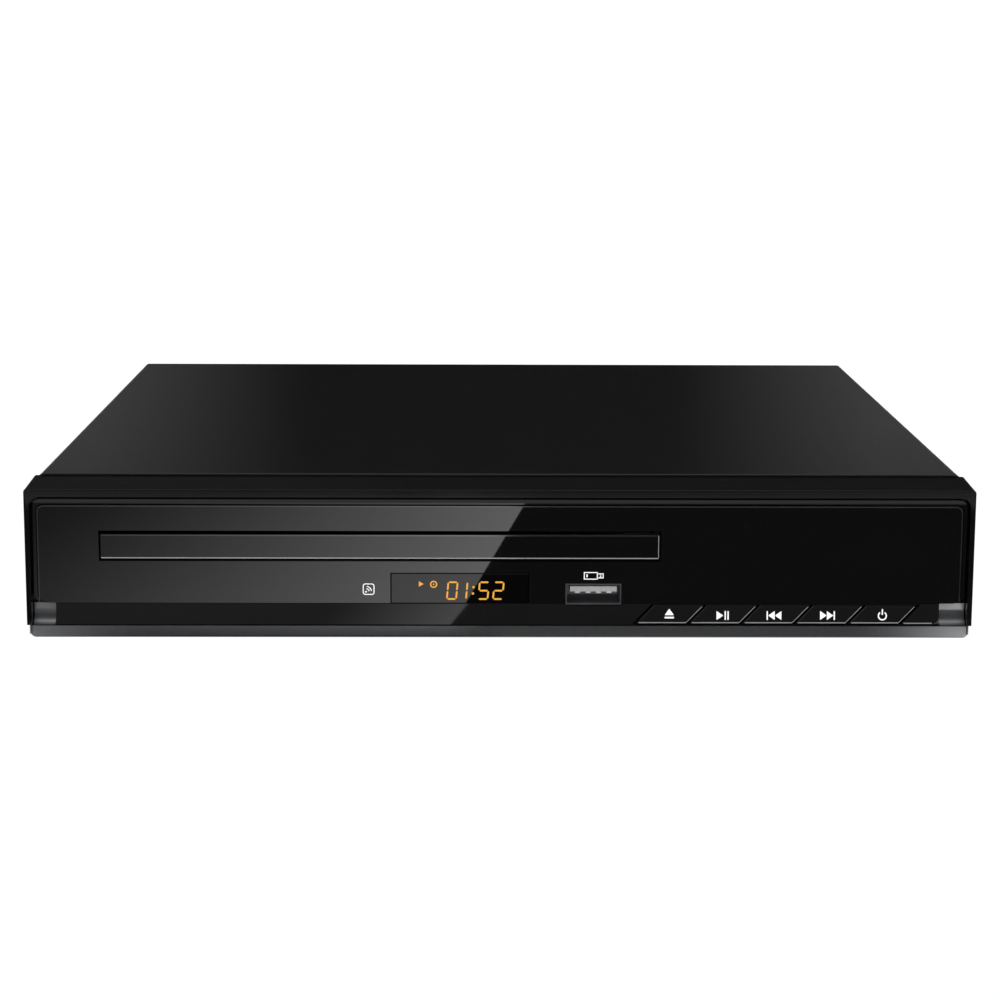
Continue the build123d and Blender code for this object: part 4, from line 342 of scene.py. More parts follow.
# Hot-dip zinc on the pan: crystals of several millimetres, each turning the light a little.
ZINC_SHEET = Finish(
    "galvanised_sheet_steel", "galvanised_steel", "#8f9296", "#b3b6b9", 0.40, 0.10, 1.0,
    grain=Grain.SPANGLE, grain_mm=7.0, relief_mm=0.006,
)
# ABS from a polished tool: mirror gloss, with the slow ripple of a moulded face.
GLOSS_ABS = Finish(
    "polished_black_abs", "bezel_black", "#040405", "#050506", 0.07, 0.01, ior=1.42,
    grain=Grain.POLISHED, grain_mm=30.0, relief_mm=0.006,
)
# Cast acrylic, black behind: the flattest and deepest gloss on the front.
BLACK_ACRYLIC = Finish(
    "polished_black_acrylic", "window_black", "#030304", "#040405", 0.02, 0.005, ior=1.49,
    grain=Grain.POLISHED, grain_mm=60.0, relief_mm=0.003,
)
# Metallic lacquer on plastic: grey flakes under a clear coat that streaks along the light.
GUNMETAL_LACQUER = Finish(
    "gunmetal_metallic_lacquer", "gunmetal", "#67686a", "#6e6f71", 0.24, 0.02, 0.9, coat=0.25,
    grain=Grain.FLAKE, grain_mm=0.12, relief_mm=0.0004,
)
# Moulded nitrile rubber: dull, dusty black.
NITRILE_RUBBER = Finish(
    "moulded_nitrile_rubber", "rubber_black", "#121212", "#1c1c1c", 0.78, 0.08, grain=Grain.SPARK,
    grain_mm=0.8, relief_mm=0.03,
)
# Glass-fibre laminate with solder mask: glossy green, tracks showing as raised paler lines.
SOLDER_MASK = Finish(
    "solder_mask_on_glass_fibre", "board_green", "#0c4a2a", "#156a3c", 0.32, 0.06,
    grain=Grain.TRACKS, grain_mm=3.0, relief_mm=0.03,
)
# Transfer-moulded epoxy of chips and switches: flat charcoal with a fine tooth.
MOULDED_EPOXY = Finish(
    "moulded_epoxy", "chip_black", "#151516", "#1d1d1e", 0.55, 0.06, grain=Grain.SPARK,
    grain_mm=0.5, relief_mm=0.01,
)
# ABS from a spark-eroded tool: the matt, even texture of trays and frames.
TEXTURED_ABS = Finish(
    "spark_textured_black_abs", "loader_plastic", "#161617", "#1d1d1e", 0.52, 0.05,
    grain=Grain.SPARK, grain_mm=0.7, relief_mm=0.02,
)
# Natural acetal: waxy ivory, a little uneven from the moulding.
NATURAL_ACETAL = Finish(
    "natural_acetal", "gear_plastic", "#d8d3c2", "#e6e2d4", 0.38, 0.06, ior=1.48,
    grain=Grain.POLISHED, grain_mm=4.0, relief_mm=0.01,
)
# Cold-rolled steel: fine rolling lines along the sheet.
ROLLED_STEEL = Finish(
    "cold_rolled_steel", "bright_steel", "#9b9da0", "#b5b7ba", 0.30, 0.08, 1.0, grain=Grain.BRUSHED,
    grain_mm=0.5, relief_mm=0.004, stretch=(1.0, 0.06, 1.0),
)
# Bright nickel on stamped shells: almost a mirror, slightly warm.
NICKEL_PLATE = Finish(
    "bright_nickel_plate", "nickel", "#b9b5ac", "#c9c5bd", 0.18, 0.05, 1.0, grain=Grain.BRUSHED,
    grain_mm=0.4, relief_mm=0.003, stretch=(1.0, 0.15, 1.0),
)
# Flash gold on bronze springs.
GOLD_FLASH = Finish(
    "flash_gold_on_bronze", "contact_gold", "#c79a45", "#dbb25c", 0.24, 0.06, 1.0,
    grain=Grain.BRUSHED, grain_mm=0.3, relief_mm=0.003, stretch=(1.0, 0.2, 1.0),
)
# Stamped shell of the memory port: satin nickel, greyed by tumbling.
SATIN_NICKEL = Finish(
    "satin_nickel_plate", "nickel", "#77767a", "#85848a", 0.42, 0.05, 1.0, grain=Grain.BRUSHED,
    grain_mm=0.4, relief_mm=0.003, stretch=(1.0, 0.15, 1.0),
)
# Grey-filled nylon of the port's tongue.
GREY_NYLON = Finish(
    "grey_moulded_nylon", "socket_white", "#838383", "#8c8c8c", 0.5, 0.05, grain=Grain.POLISHED,
    grain_mm=3.0, relief_mm=0.01,
)
# Unpainted nylon of sockets and cable jackets: warm white, soft gloss.
WHITE_NYLON = Finish(
    "white_moulded_nylon", "socket_white", "#c9c8c2", "#dad9d4", 0.45, 0.05, grain=Grain.POLISHED,
    grain_mm=3.0, relief_mm=0.01,
)
# Glass-filled polyester of rear sockets: dull black with a cloudy skin.
FILLED_POLYESTER = Finish(
    "glass_filled_polyester", "socket_black", "#141414", "#1d1d1e", 0.50, 0.07, grain=Grain.SPARK,
    grain_mm=0.6, relief_mm=0.012,
)
# Coloured ABS of the coaxial jack.
ORANGE_ABS = Finish(
    "orange_moulded_abs", "jack_orange", "#b2480a", "#c4540f", 0.32, 0.05, grain=Grain.POLISHED,
    grain_mm=5.0, relief_mm=0.01,
)
# Sintered ferrite: dense charcoal ceramic, slightly gritty.
SINTERED_FERRITE = Finish(
    "sintered_ferrite", "ferrite", "#2c2c30", "#3a3a3e", 0.48, 0.08, grain=Grain.SPARK,
    grain_mm=0.9, relief_mm=0.03,
)
# Printed shrink sleeve of electrolytic capacitors: dark blue vinyl film.
SHRINK_SLEEVE = Finish(
    "vinyl_shrink_sleeve", "capacitor_sleeve", "#141c33", "#1a2440", 0.26, 0.05,
    grain=Grain.POLISHED, grain_mm=6.0, relief_mm=0.02,
)
# Extruded aluminium: die lines along the fins.
EXTRUDED_ALUMINIUM = Finish(
    "extruded_aluminium", "aluminium", "#b4b6b8", "#c8cacc", 0.34, 0.06, 1.0, grain=Grain.BRUSHED,
    grain_mm=0.5, relief_mm=0.006, stretch=(1.0, 1.0, 0.05),
)
# Pad-printed ink: thin, opaque white.
PRINTED_WHITE = Finish(
    "pad_printed_white_ink", "window_black", "#e4e4e4", "#efefef", 0.45, grain_mm=0.2,
    relief_mm=0.002,
)
# Dim painted highlight: a hair of grey printed along the window's outline and the door's head, standing in
# for light caught by a chamfer; it still mirrors a little.
DIM_PAINTED_HIGHLIGHT = Finish(
    "dim_painted_highlight_edge", "window_black", "#191919", "#1f1f1f", 0.10, 0.02, ior=1.75, grain_mm=0.3,
    relief_mm=0.001,
)
# Bright painted highlight: pale grey printed along the door's foot and right end, the keys' edges and the
# fascia's end, standing in for light caught by their chamfers.
BRIGHT_PAINTED_HIGHLIGHT = Finish(
    "bright_painted_highlight_edge", "window_black", "#747474", "#808080", 0.30, 0.05, grain_mm=0.3,
    relief_mm=0.001,
)
# Black-oxide screws: thin oxide over steel, oily dark grey.
BLACK_OXIDE = Finish(
    "black_oxide_steel", "satin_black_steel", "#232324", "#2e2e30", 0.36, 0.06, 0.9,
    grain=Grain.BRUSHED, grain_mm=0.4, relief_mm=0.004,
)
# Tinned copper of the memory port's contacts: pale, slightly dull silver.
TINNED_COPPER = Finish(
    "tinned_copper", "nickel", "#b7b8ba", "#cfd0d2", 0.42, 0.08, 0.4, grain=Grain.BRUSHED,
    grain_mm=0.3, relief_mm=0.004,
)
# Smoked acrylic over the clock: so dark that only lit bars show, with a thinner gloss than the window.
SMOKED_ACRYLIC = Finish(
    "smoked_acrylic", "smoked_lens", "#010101", "#020202", 0.02, 0.005, ior=1.37,
    grain=Grain.POLISHED, grain_mm=40.0, relief_mm=0.002,
)
# Coated lens of the pickup: faint blue bloom.
COATED_LENS = ClearFinish("coated_lens_glass", "lens_glass", "#c8d6ee", 0.01, 1.52)
# Amber phosphor of the clock.
AMBER_PHOSPHOR = LitFinish("amber_phosphor", "smoked_lens", "#f6ae3c", 1.0)

NODE_FINISHES: dict[Finish | ClearFinish | LitFinish, tuple[str, ...]] = {
    POWDER_COAT: ("top_cover",),
    STOVED_PAINT: ("rear_panel",),
    ZINC_SHEET: ("bottom_chassis",),
    GLOSS_ABS: ("front_bezel",),
    BLACK_ACRYLIC: (
        "window_panel", "key_fascia", "tray_door",
        "eject_key", "play_pause_key", "previous_key", "next_key", "power_key",
    ),
    SMOKED_ACRYLIC: ("display_lens",),
    GUNMETAL_LACQUER: ("lower_trim",),
    NITRILE_RUBBER: ("feet", "drive_belt"),
    SOLDER_MASK: ("front_board", "main_board", "power_board"),
    MOULDED_EPOXY: ("main_board_chips", "infrared_receiver", "key_switches", "display_module"),
    TEXTURED_ABS: ("loader_frame", "disc_tray", "pickup", "clamp_puck", "turntable"),
    NATURAL_ACETAL: ("tray_gear", "belt_pulley", "motor_pulley", "cam_slider", "sled_gear", "sled_pinion"),
    ROLLED_STEEL: (
        "traverse_plate", "guide_rods", "clamp_bridge", "inner_screws",
        "spindle_motor", "loading_motor", "sled_motor",
    ),
    SATIN_NICKEL: ("memory_socket_shell",),
    GREY_NYLON: ("memory_socket_tongue",),
    NICKEL_PLATE: ("video_socket_shell", "coax_jack_barrel", "mains_inlet_pins"),
    WHITE_NYLON: ("cable_sockets", "flat_cable"),
    FILLED_POLYESTER: ("av_socket", "mains_inlet", "video_socket_tongue"),
    ORANGE_ABS: ("coax_jack_body",),
    SINTERED_FERRITE: ("transformer",),
    SHRINK_SLEEVE: ("power_capacitors",),
    EXTRUDED_ALUMINIUM: ("heat_sink",),
    TINNED_COPPER: ("memory_socket_contacts",),
    BLACK_OXIDE: ("cover_screws",),
    COATED_LENS: ("pickup_lens",),
}


def dress_nodes() -> None:
    """Gives every solid of the frame its finish."""
    for finish, names in NODE_FINISHES.items():
        for name in names:
            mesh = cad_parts[name].data
            mesh.materials.clear()
            mesh.materials.append(finish.material())
        LOG.info("%s on %s", finish.name, ", ".join(names))


def link(name: str, data: bpy.types.ID) -> bpy.types.Object:
    """Puts a mesh, lamp or camera into the scene.

    Args:
        name: Name of the object.
        data: What the object shows.

    Returns:
        The new object, at the origin.
    """
    made = bpy.data.objects.new(name, data)
    bpy.context.scene.collection.objects.link(made)
    return made


def set_piece(name: str, mesh: bpy.types.Mesh, body: str) -> bpy.types.Object:
    """Sets a finished mesh in the scene as a piece that moves with a body.

    Args:
        name: Name of the piece.
        mesh: Its mesh in metres, in the frame's place.
        body: Body that carries it.

    Returns:
        The new object.
    """
    piece = link(name, mesh)
    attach(piece, body)
    LOG.info("%s rides on %s", name, body)
    return piece


def print_piece(
    name: str, outlines: Sequence[Outline], place: Matrix, finish: Finish | LitFinish, body: str
) -> None:
    """Raises flat outlines into thin closed prints, a third sunk into the surface, as one piece.

    Args:
        name: Name of the piece.
        outlines: Convex outlines in millimetres, on the local XY plane.
        place: Where the local plane lies, in metres; its Z points out of the surface.
        finish: Finish of the whole piece.
        body: Body that carries it.
    """
    shape = bmesh.new()
    for outline in outlines:
        low, high = (
            [shape.verts.new(place @ Vector((*mm(x, y), z))) for x, y in outline]
            for z in (-INK_MM * MM / 3, INK_MM * MM * 2 / 3)
        )
        shape.faces.new(low)
        shape.faces.new(high)
        for index in range(len(outline)):
            after = (index + 1) % len(outline)
            shape.faces.new((low[index], low[after], high[after], high[index]))
    bmesh.ops.recalc_face_normals(shape, faces=shape.faces)
    mesh = bpy.data.meshes.new(name)
    shape.to_mesh(mesh)
    shape.free()
    mesh.materials.append(finish.material())
    set_piece(name, mesh, body)


def bar(x: float, y: float, width: float, height: float) -> Outline:
    """Returns an upright rectangle about a middle, in millimetres."""
    return [
        (x - width / 2, y - height / 2), (x + width / 2, y - height / 2),
        (x + width / 2, y + height / 2), (x - width / 2, y + height / 2),
    ]


def wedge(x: float, y: float, width: float, height: float, turn: float) -> Outline:
    """Returns a triangle that points along +X before its turn.

    Args:
        x: Middle of the triangle's box.
        y: Middle of the triangle's box.
        width: Length along its point.
        height: Breadth of its base.
        turn: Turn in degrees.

    Returns:
        Three corners in millimetres.
    """
    corners = [(-width / 2, -height / 2), (width / 2, 0.0), (-width / 2, height / 2)]
    c, s = cos(radians(turn)), sin(radians(turn))
    return [(x + c * a - s * b, y + s * a + c * b) for a, b in corners]


def band(path: Sequence[Point], line: float, closed: bool = False) -> list[Outline]:
    """Follows a path with a band of even width.

    Args:
        path: Points in millimetres.
        line: Width of the band.
        closed: Whether the last point joins the first.

    Returns:
        One four-cornered outline for each run, mitred at the joints.
    """
    count = len(path)
    sides: list[tuple[Vector, Vector]] = []
    for index, point in enumerate(path):
        here = Vector(point)
        before = Vector(path[index - 1]) if index or closed else None
        after = Vector(path[(index + 1) % count]) if index < count - 1 or closed else None
        way_in = (here - before).normalized() if before is not None else None
        way_out = (after - here).normalized() if after is not None else None
        way = ((way_in or way_out) + (way_out or way_in)).normalized()
        across = Vector((-way.y, way.x))
        reach = line / 2 / max(0.3, way.dot(way_out or way_in))
        sides.append((here + across * reach, here - across * reach))
    ends = [(sides[i], sides[(i + 1) % count]) for i in range(count if closed else count - 1)]
    return [[tuple(a[0]), tuple(b[0]), tuple(b[1]), tuple(a[1])] for a, b in ends]


def arc(radius: float, start: float, stop: float, steps: int, x: float = 0.0, y: float = 0.0) -> list[Point]:
    """Returns points on an arc between two angles in degrees."""
    angles = [radians(start + (stop - start) * step / steps) for step in range(steps + 1)]
    return [(x + radius * cos(angle), y + radius * sin(angle)) for angle in angles]


def rounded_square(side: float, corner: float) -> list[Point]:
    """Returns the closed path of a square with round corners, about the origin."""
    inner = side / 2 - corner
    path: list[Point] = []
    for index, (x, y) in enumerate(((inner, inner), (-inner, inner), (-inner, -inner), (inner, -inner))):
        path += arc(corner, 90.0 * index, 90.0 * index + 90.0, 4, x, y)
    return path


def facing_front(x: float, y: float, z: float, lean: float = 0.0) -> Matrix:
    """Lays a local plane on the front, its X to the right and its Z towards the viewer.

    Args:
        x: Place in millimetres.
        y: Place in millimetres.
        z: Place in millimetres.
        lean: How far the surface runs back for each unit of height.

    Returns:
        The plane's matrix, in metres.
    """
    up = Vector((0.0, lean, 1.0)).normalized()
    right = Vector((1.0, 0.0, 0.0))
    turn = Matrix((right, up, right.cross(up))).transposed().to_4x4()
    return Matrix.Translation(mm(x, y, z)) @ turn


class RepeatTree:
    """Geometry Nodes tree that sets one shape on every point, with named inputs for its sizes."""

    def __init__(self, name: str, sizes: Sequence[str]) -> None:
        """Opens the tree.

        Args:
            name: Name of the tree.
            sizes: Names of its sizes, in metres.
        """
        self.tree = bpy.data.node_groups.new(name, "GeometryNodeTree")
        face = self.tree.interface
        face.new_socket("Points", in_out="INPUT", socket_type="NodeSocketGeometry")
        for size in sizes:
            face.new_socket(size, in_out="INPUT", socket_type="NodeSocketFloat")
        face.new_socket("Surface", in_out="INPUT", socket_type="NodeSocketMaterial")
        face.new_socket("Geometry", in_out="OUTPUT", socket_type="NodeSocketGeometry")
        self.entry = add_node(self.tree, "NodeGroupInput").outputs

    def add(self, kind: str, inputs: Inputs | None = None, **settings: Any) -> Socket:
        """Adds a node, as add_node does, and returns its first output."""
        return add_node(self.tree, kind, inputs, **settings).outputs[0]

    def sum(self, operation: str, *values: Any) -> Socket:
        """Adds one sum of numbers or sockets and returns its result."""
        return self.add("ShaderNodeMath", dict(enumerate(values)), operation=operation)

    def spot(self) -> bpy.types.NodeOutputs:
        """Adds the place of each corner and returns its X, Y and Z."""
        place = self.add("GeometryNodeInputPosition")
        return add_node(self.tree, "ShaderNodeSeparateXYZ", {0: place}).outputs

    def triple(self, x: Any = 0.0, y: Any = 0.0, z: Any = 0.0) -> Socket:
        """Joins three numbers or sockets into a vector and returns it."""
        return self.add("ShaderNodeCombineXYZ", {0: x, 1: y, 2: z})

    def close(self, shape: Socket) -> None:
        """Sets the shape on the points, realised and dressed.

        Args:
            shape: Geometry of one shape.
        """
        turn = self.add("GeometryNodeInputNamedAttribute", {"Name": "turn"}, data_type="FLOAT_VECTOR")
        turned = self.add("FunctionNodeEulerToRotation", {0: turn})
        points = self.add("GeometryNodeMeshToPoints", {"Mesh": self.entry["Points"]})
        setting = {"Points": points, "Instance": shape, "Rotation": turned}
        copies = self.add("GeometryNodeInstanceOnPoints", setting)
        solid = self.add("GeometryNodeRealizeInstances", {0: copies})
        skin = {"Geometry": solid, "Material": self.entry["Surface"]}
        add_node(self.tree, "NodeGroupOutput", {0: self.add("GeometryNodeSetMaterial", skin)})

    def grow(
        self,
        name: str,
        points: Sequence[Placing],
        sizes: dict[str, float],
        finish: Finish | LitFinish,
        body: str,
    ) -> bpy.types.Object:
        """Runs the tree once and keeps its result as a plain piece.

        Args:
            name: Name of the piece.
            points: Where every copy goes.
            sizes: Value of each named size, in millimetres.
            finish: Finish of the copies.
            body: Body that carries them.

        Returns:
            The finished piece.
        """
        seeds = bpy.data.meshes.new(f"{name}_points")
        seeds.from_pydata([place for place, _ in points], [], [])
        turns = seeds.attributes.new("turn", "FLOAT_VECTOR", "POINT")
        turns.data.foreach_set("vector", [value for _, turn in points for value in turn])
        seedling = link(f"{name}_points", seeds)
        modifier = seedling.modifiers.new("repeat", "NODES")
        modifier.node_group = self.tree
        for item in self.tree.interface.items_tree:
            if item.in_out == "INPUT" and item.name in sizes:
                modifier[item.identifier] = sizes[item.name] * MM
            elif item.name == "Surface":
                modifier[item.identifier] = finish.material()
        ready = seedling.evaluated_get(bpy.context.evaluated_depsgraph_get())
        mesh = bpy.data.meshes.new_from_object(ready)
        bpy.data.objects.remove(seedling)
        mesh.name = name
        return set_piece(name, mesh, body)


def segment_tree() -> RepeatTree:
    """Builds the tree of a clock's bars.

    Returns:
        Tree of six-sided bars with pointed ends, each a thin closed plate.
    """
    repeat = RepeatTree("clock_bars", ("Length", "Width", "Depth"))
    size, spot = repeat.entry, repeat.spot()
    plate = repeat.add("GeometryNodeMeshCircle", {"Vertices": 6, "Radius": 1.0}, fill_type="NGON")
    past_half = repeat.sum("SUBTRACT", 1.0, repeat.sum("ABSOLUTE", spot[0]))
    inward = repeat.sum("MULTIPLY", past_half, size["Width"])
    reach = repeat.sum("SUBTRACT", repeat.sum("MULTIPLY", size["Length"], 0.5), inward)
    long = repeat.sum("MULTIPLY", reach, repeat.sum("SIGN", spot[0]))
    across = repeat.sum("MULTIPLY", spot[1], repeat.sum("MULTIPLY", size["Width"], HEXAGON_HALF))
    place = repeat.triple(long, across)
    bar_face = repeat.add("GeometryNodeSetPosition", {"Geometry": plate, "Position": place})
    raised = repeat.add("GeometryNodeExtrudeMesh", {"Mesh": bar_face, "Offset Scale": size["Depth"]})
    both = add_node(repeat.tree, "GeometryNodeJoinGeometry", {0: raised})
    repeat.tree.links.new(repeat.add("GeometryNodeFlipFaces", {0: bar_face}), both.inputs[0])
    repeat.close(repeat.add("GeometryNodeMergeByDistance", {0: both.outputs[0], "Distance": WELD}))
    return repeat


def screw_tree() -> RepeatTree:
    """Builds the tree of pan-head screws.

    Returns:
        Tree of domed heads with a crossed recess, standing along their own Z.
    """
    repeat = RepeatTree("pan_heads", ("Radius", "Height", "Slot", "Reach", "Depth"))
    size, spot = repeat.entry, repeat.spot()
    drum_size = {"Radius": size["Radius"], "Depth": size["Height"]}
    rings = {"Vertices": 28, "Side Segments": 5, "Fill Segments": 2}
    drum = repeat.add("GeometryNodeMeshCylinder", {**rings, **drum_size})
    climb = repeat.sum("ADD", repeat.sum("DIVIDE", spot[2], size["Height"]), 0.5)
    draw_in = repeat.sum("SUBTRACT", 1.0, repeat.sum("MULTIPLY", repeat.sum("POWER", climb, 3.0), DOME_DRAW))
    domed = repeat.triple(*(repeat.sum("MULTIPLY", spot[axis], draw_in) for axis in (0, 1)), spot[2])
    head = repeat.add("GeometryNodeSetPosition", {"Geometry": drum, "Position": domed})
    cut = add_node(repeat.tree, "GeometryNodeMeshBoolean", {0: head}, operation="DIFFERENCE")
    top = repeat.triple(z=repeat.sum("MULTIPLY", size["Height"], 0.5))
    for first, second in (("Reach", "Slot"), ("Slot", "Reach")):
        span = repeat.triple(size[first], size[second], size["Depth"])
        slot = repeat.add("GeometryNodeMeshCube", {"Size": span})
        sunk = repeat.add("GeometryNodeTransform", {"Geometry": slot, "Translation": top})
        repeat.tree.links.new(sunk, cut.inputs[1])
    repeat.close(cut.outputs[0])
    return repeat


def blade_tree() -> RepeatTree:
    """Builds the tree of spring contacts.

    Returns:
        Tree of bars that narrow towards the end of their own Z.
    """
    repeat = RepeatTree("contact_blades", BLADE_SIZES)
    size = repeat.entry
    span = repeat.triple(size["Width"], size["Thickness"], size["Length"])
    bar_shape = repeat.add("GeometryNodeMeshCube", {"Size": span})
    normal = repeat.add("GeometryNodeInputNormal")
    facing = add_node(repeat.tree, "ShaderNodeSeparateXYZ", {0: normal}).outputs[2]
    end = repeat.sum("GREATER_THAN", facing, 0.5)
    drawn = {"Mesh": bar_shape, "Selection": end, "Offset Scale": size["Tip"]}
    tip = add_node(repeat.tree, "GeometryNodeExtrudeMesh", drawn).outputs
    narrowed = {"Geometry": tip[0], "Selection": tip[1], "Scale": TIP_SHARE}
    repeat.close(repeat.add("GeometryNodeScaleElements", narrowed))
    return repeat


@dataclass
class FrontFace:
    """Window with the painted highlight along its outline, and the two marks printed on it.

    Attributes:
        side_inset: How far the window's painted highlight lies inside the panel at each side, in millimetres.
        foot_inset: The same at the foot.
        head_inset: The same at the head.
        corner: Round of the window's upper corners.
        edge: Width of the painted highlight line.
        mark_line: Line width of the printed marks.
        receiver: How far its mark lies from the middle of the receiver, across and up.
        memory: How far its mark lies from the middle of the memory port.
    """

    side_inset: float = 1.43
    foot_inset: float = 0.3
    head_inset: float = 1.73
    corner: float = 1.4
    edge: float = 0.26
    mark_line: float = 0.21
    receiver: Point = (-0.1, -0.42)
    memory: Point = (0.1, 4.45)

    def plane(self, x: float = 0.0, z: float = 0.0) -> Matrix:
        """Returns the window's plane about a point in millimetres."""
        return facing_front(x, solid_box("window_panel")[0].y, z)

    def build(self) -> None:
        """Lays the painted highlights along the window and the door, and prints the marks."""
        self.window_painted_highlight()
        self.paint_door_highlights()
        for name, shapes, node, (across, up) in (
            ("receiver_mark", self.receiver_mark(), "infrared_receiver", self.receiver),
            ("memory_mark", self.memory_mark(), "memory_socket_shell", self.memory),
        ):
            middle = solid_middle(node)
            place = self.plane(middle.x + across, middle.z + up)
            print_piece(name, shapes, place, PRINTED_WHITE, "case_body")

    def window_painted_highlight(self) -> None:
        """Lays the painted highlight up one side of the window, over its head and down the other side."""
        low, high = solid_box("window_panel")
        half, foot, head = high.x - self.side_inset, low.z + self.foot_inset, high.z - self.head_inset
        bend = arc(self.corner, 0.0, 90.0, 6, half - self.corner, head - self.corner)
        path = [(-half, foot)] + [(-x, y) for x, y in bend] + bend[::-1] + [(half, foot)]
        # Painted highlight: dim grey line printed along the window's outline.
        print_piece("window_painted_highlight", band(path, self.edge), self.plane(), DIM_PAINTED_HIGHLIGHT, "case_body")

    def paint_door_highlights(self) -> None:
        """Lays a bright painted highlight along the door's foot and right end, and a dim one along its head.
        """
        low, high = solid_box("tray_door")
        rim = self.edge
        left, right, end = low.x + rim, high.x - rim, high.x - 0.8 * rim
        sill_z, lintel_z = low.z + 0.6 * rim, high.z - 1.1 * rim
        sill = band([(left, sill_z), (end, sill_z)], rim)
        sill += band([(end, low.z + 1.25 * rim), (end, high.z - rim)], 0.6 * rim)
        # Painted highlight: pale grey strip along the door's foot and right end.
        print_piece("door_painted_highlight", sill, self.plane(), BRIGHT_PAINTED_HIGHLIGHT, "tray")
        lintel = band([(left, lintel_z), (right, lintel_z)], rim)
        # Dim painted highlight: grey strip along the door's head.
        print_piece("door_head_painted_highlight", lintel, self.plane(), DIM_PAINTED_HIGHLIGHT, "tray")

    def receiver_mark(self) -> list[Outline]:
        """Returns a round-cornered square with a dot and two waves, the common sign of a remote receiver."""
        source = (-0.62, -0.62)
        shapes = band(rounded_square(side=2.55, corner=0.5), self.mark_line, closed=True)
        shapes.append(arc(0.22, 0.0, 330.0, 11, *source))
        for radius in (0.75, 1.3):
            shapes += band(arc(radius, 8.0, 82.0, 8, *source), self.mark_line)
        return shapes

    def memory_mark(self) -> list[Outline]:
        """Returns the outline of a memory stick: body, plug with two contacts, and lamp."""
        back, neck, tip, body_half, plug_half = -2.3, 0.8, 2.2, 0.8, 0.5
        body = [(back, -body_half), (neck, -body_half), (neck, body_half), (back, body_half)]
        plug = [(neck, plug_half), (tip, plug_half), (tip, -plug_half), (neck, -plug_half)]
        shapes = band(body, self.mark_line, closed=True) + band(plug, self.mark_line)
        return shapes + [bar(1.6, 0.2, 0.36, 0.2), bar(1.6, -0.2, 0.36, 0.2), bar(-1.65, 0.0, 0.3, 0.7)]


class KeySign(Enum):
    """What a key does, as its printed sign."""

    EJECT = "eject"
    PLAY_PAUSE = "play_pause"
    PREVIOUS = "previous"
    NEXT = "next"
    POWER = "power"

    @property
    def key(self) -> str:
        """Returns the name of the key that carries the sign."""
        return f"{self.value}_key"

    def outlines(self, line: float) -> list[Outline]:
        """Draws the sign.

        Args:
            line: Line width in millimetres.

        Returns:
            Outlines about the sign's middle.
        """
        tall, long = 2.1, 1.55
        if self is KeySign.EJECT:
            return [wedge(0.0, 0.6, 1.53, 2.2, 90.0), bar(0.0, -0.74, 2.2, 0.4)]
        if self is KeySign.PLAY_PAUSE:
            return [wedge(-0.66, 0.0, 1.6, tall, 0.0)] + [bar(x, 0.0, line, tall) for x in (0.62, 1.3)]
        if self is KeySign.PREVIOUS:
            return [bar(-1.75, 0.0, line, tall)] + [wedge(x, 0.0, long, tall, 180.0) for x in (-0.75, 0.85)]
        if self is KeySign.NEXT:
            return [wedge(x, 0.0, long, tall, 0.0) for x in (-0.85, 0.75)] + [bar(1.75, 0.0, line, tall)]
        return band(arc(0.95, 125.0, 415.0, 20, 0.0, -0.2), line) + [bar(0.0, 0.72, line, 1.35)]


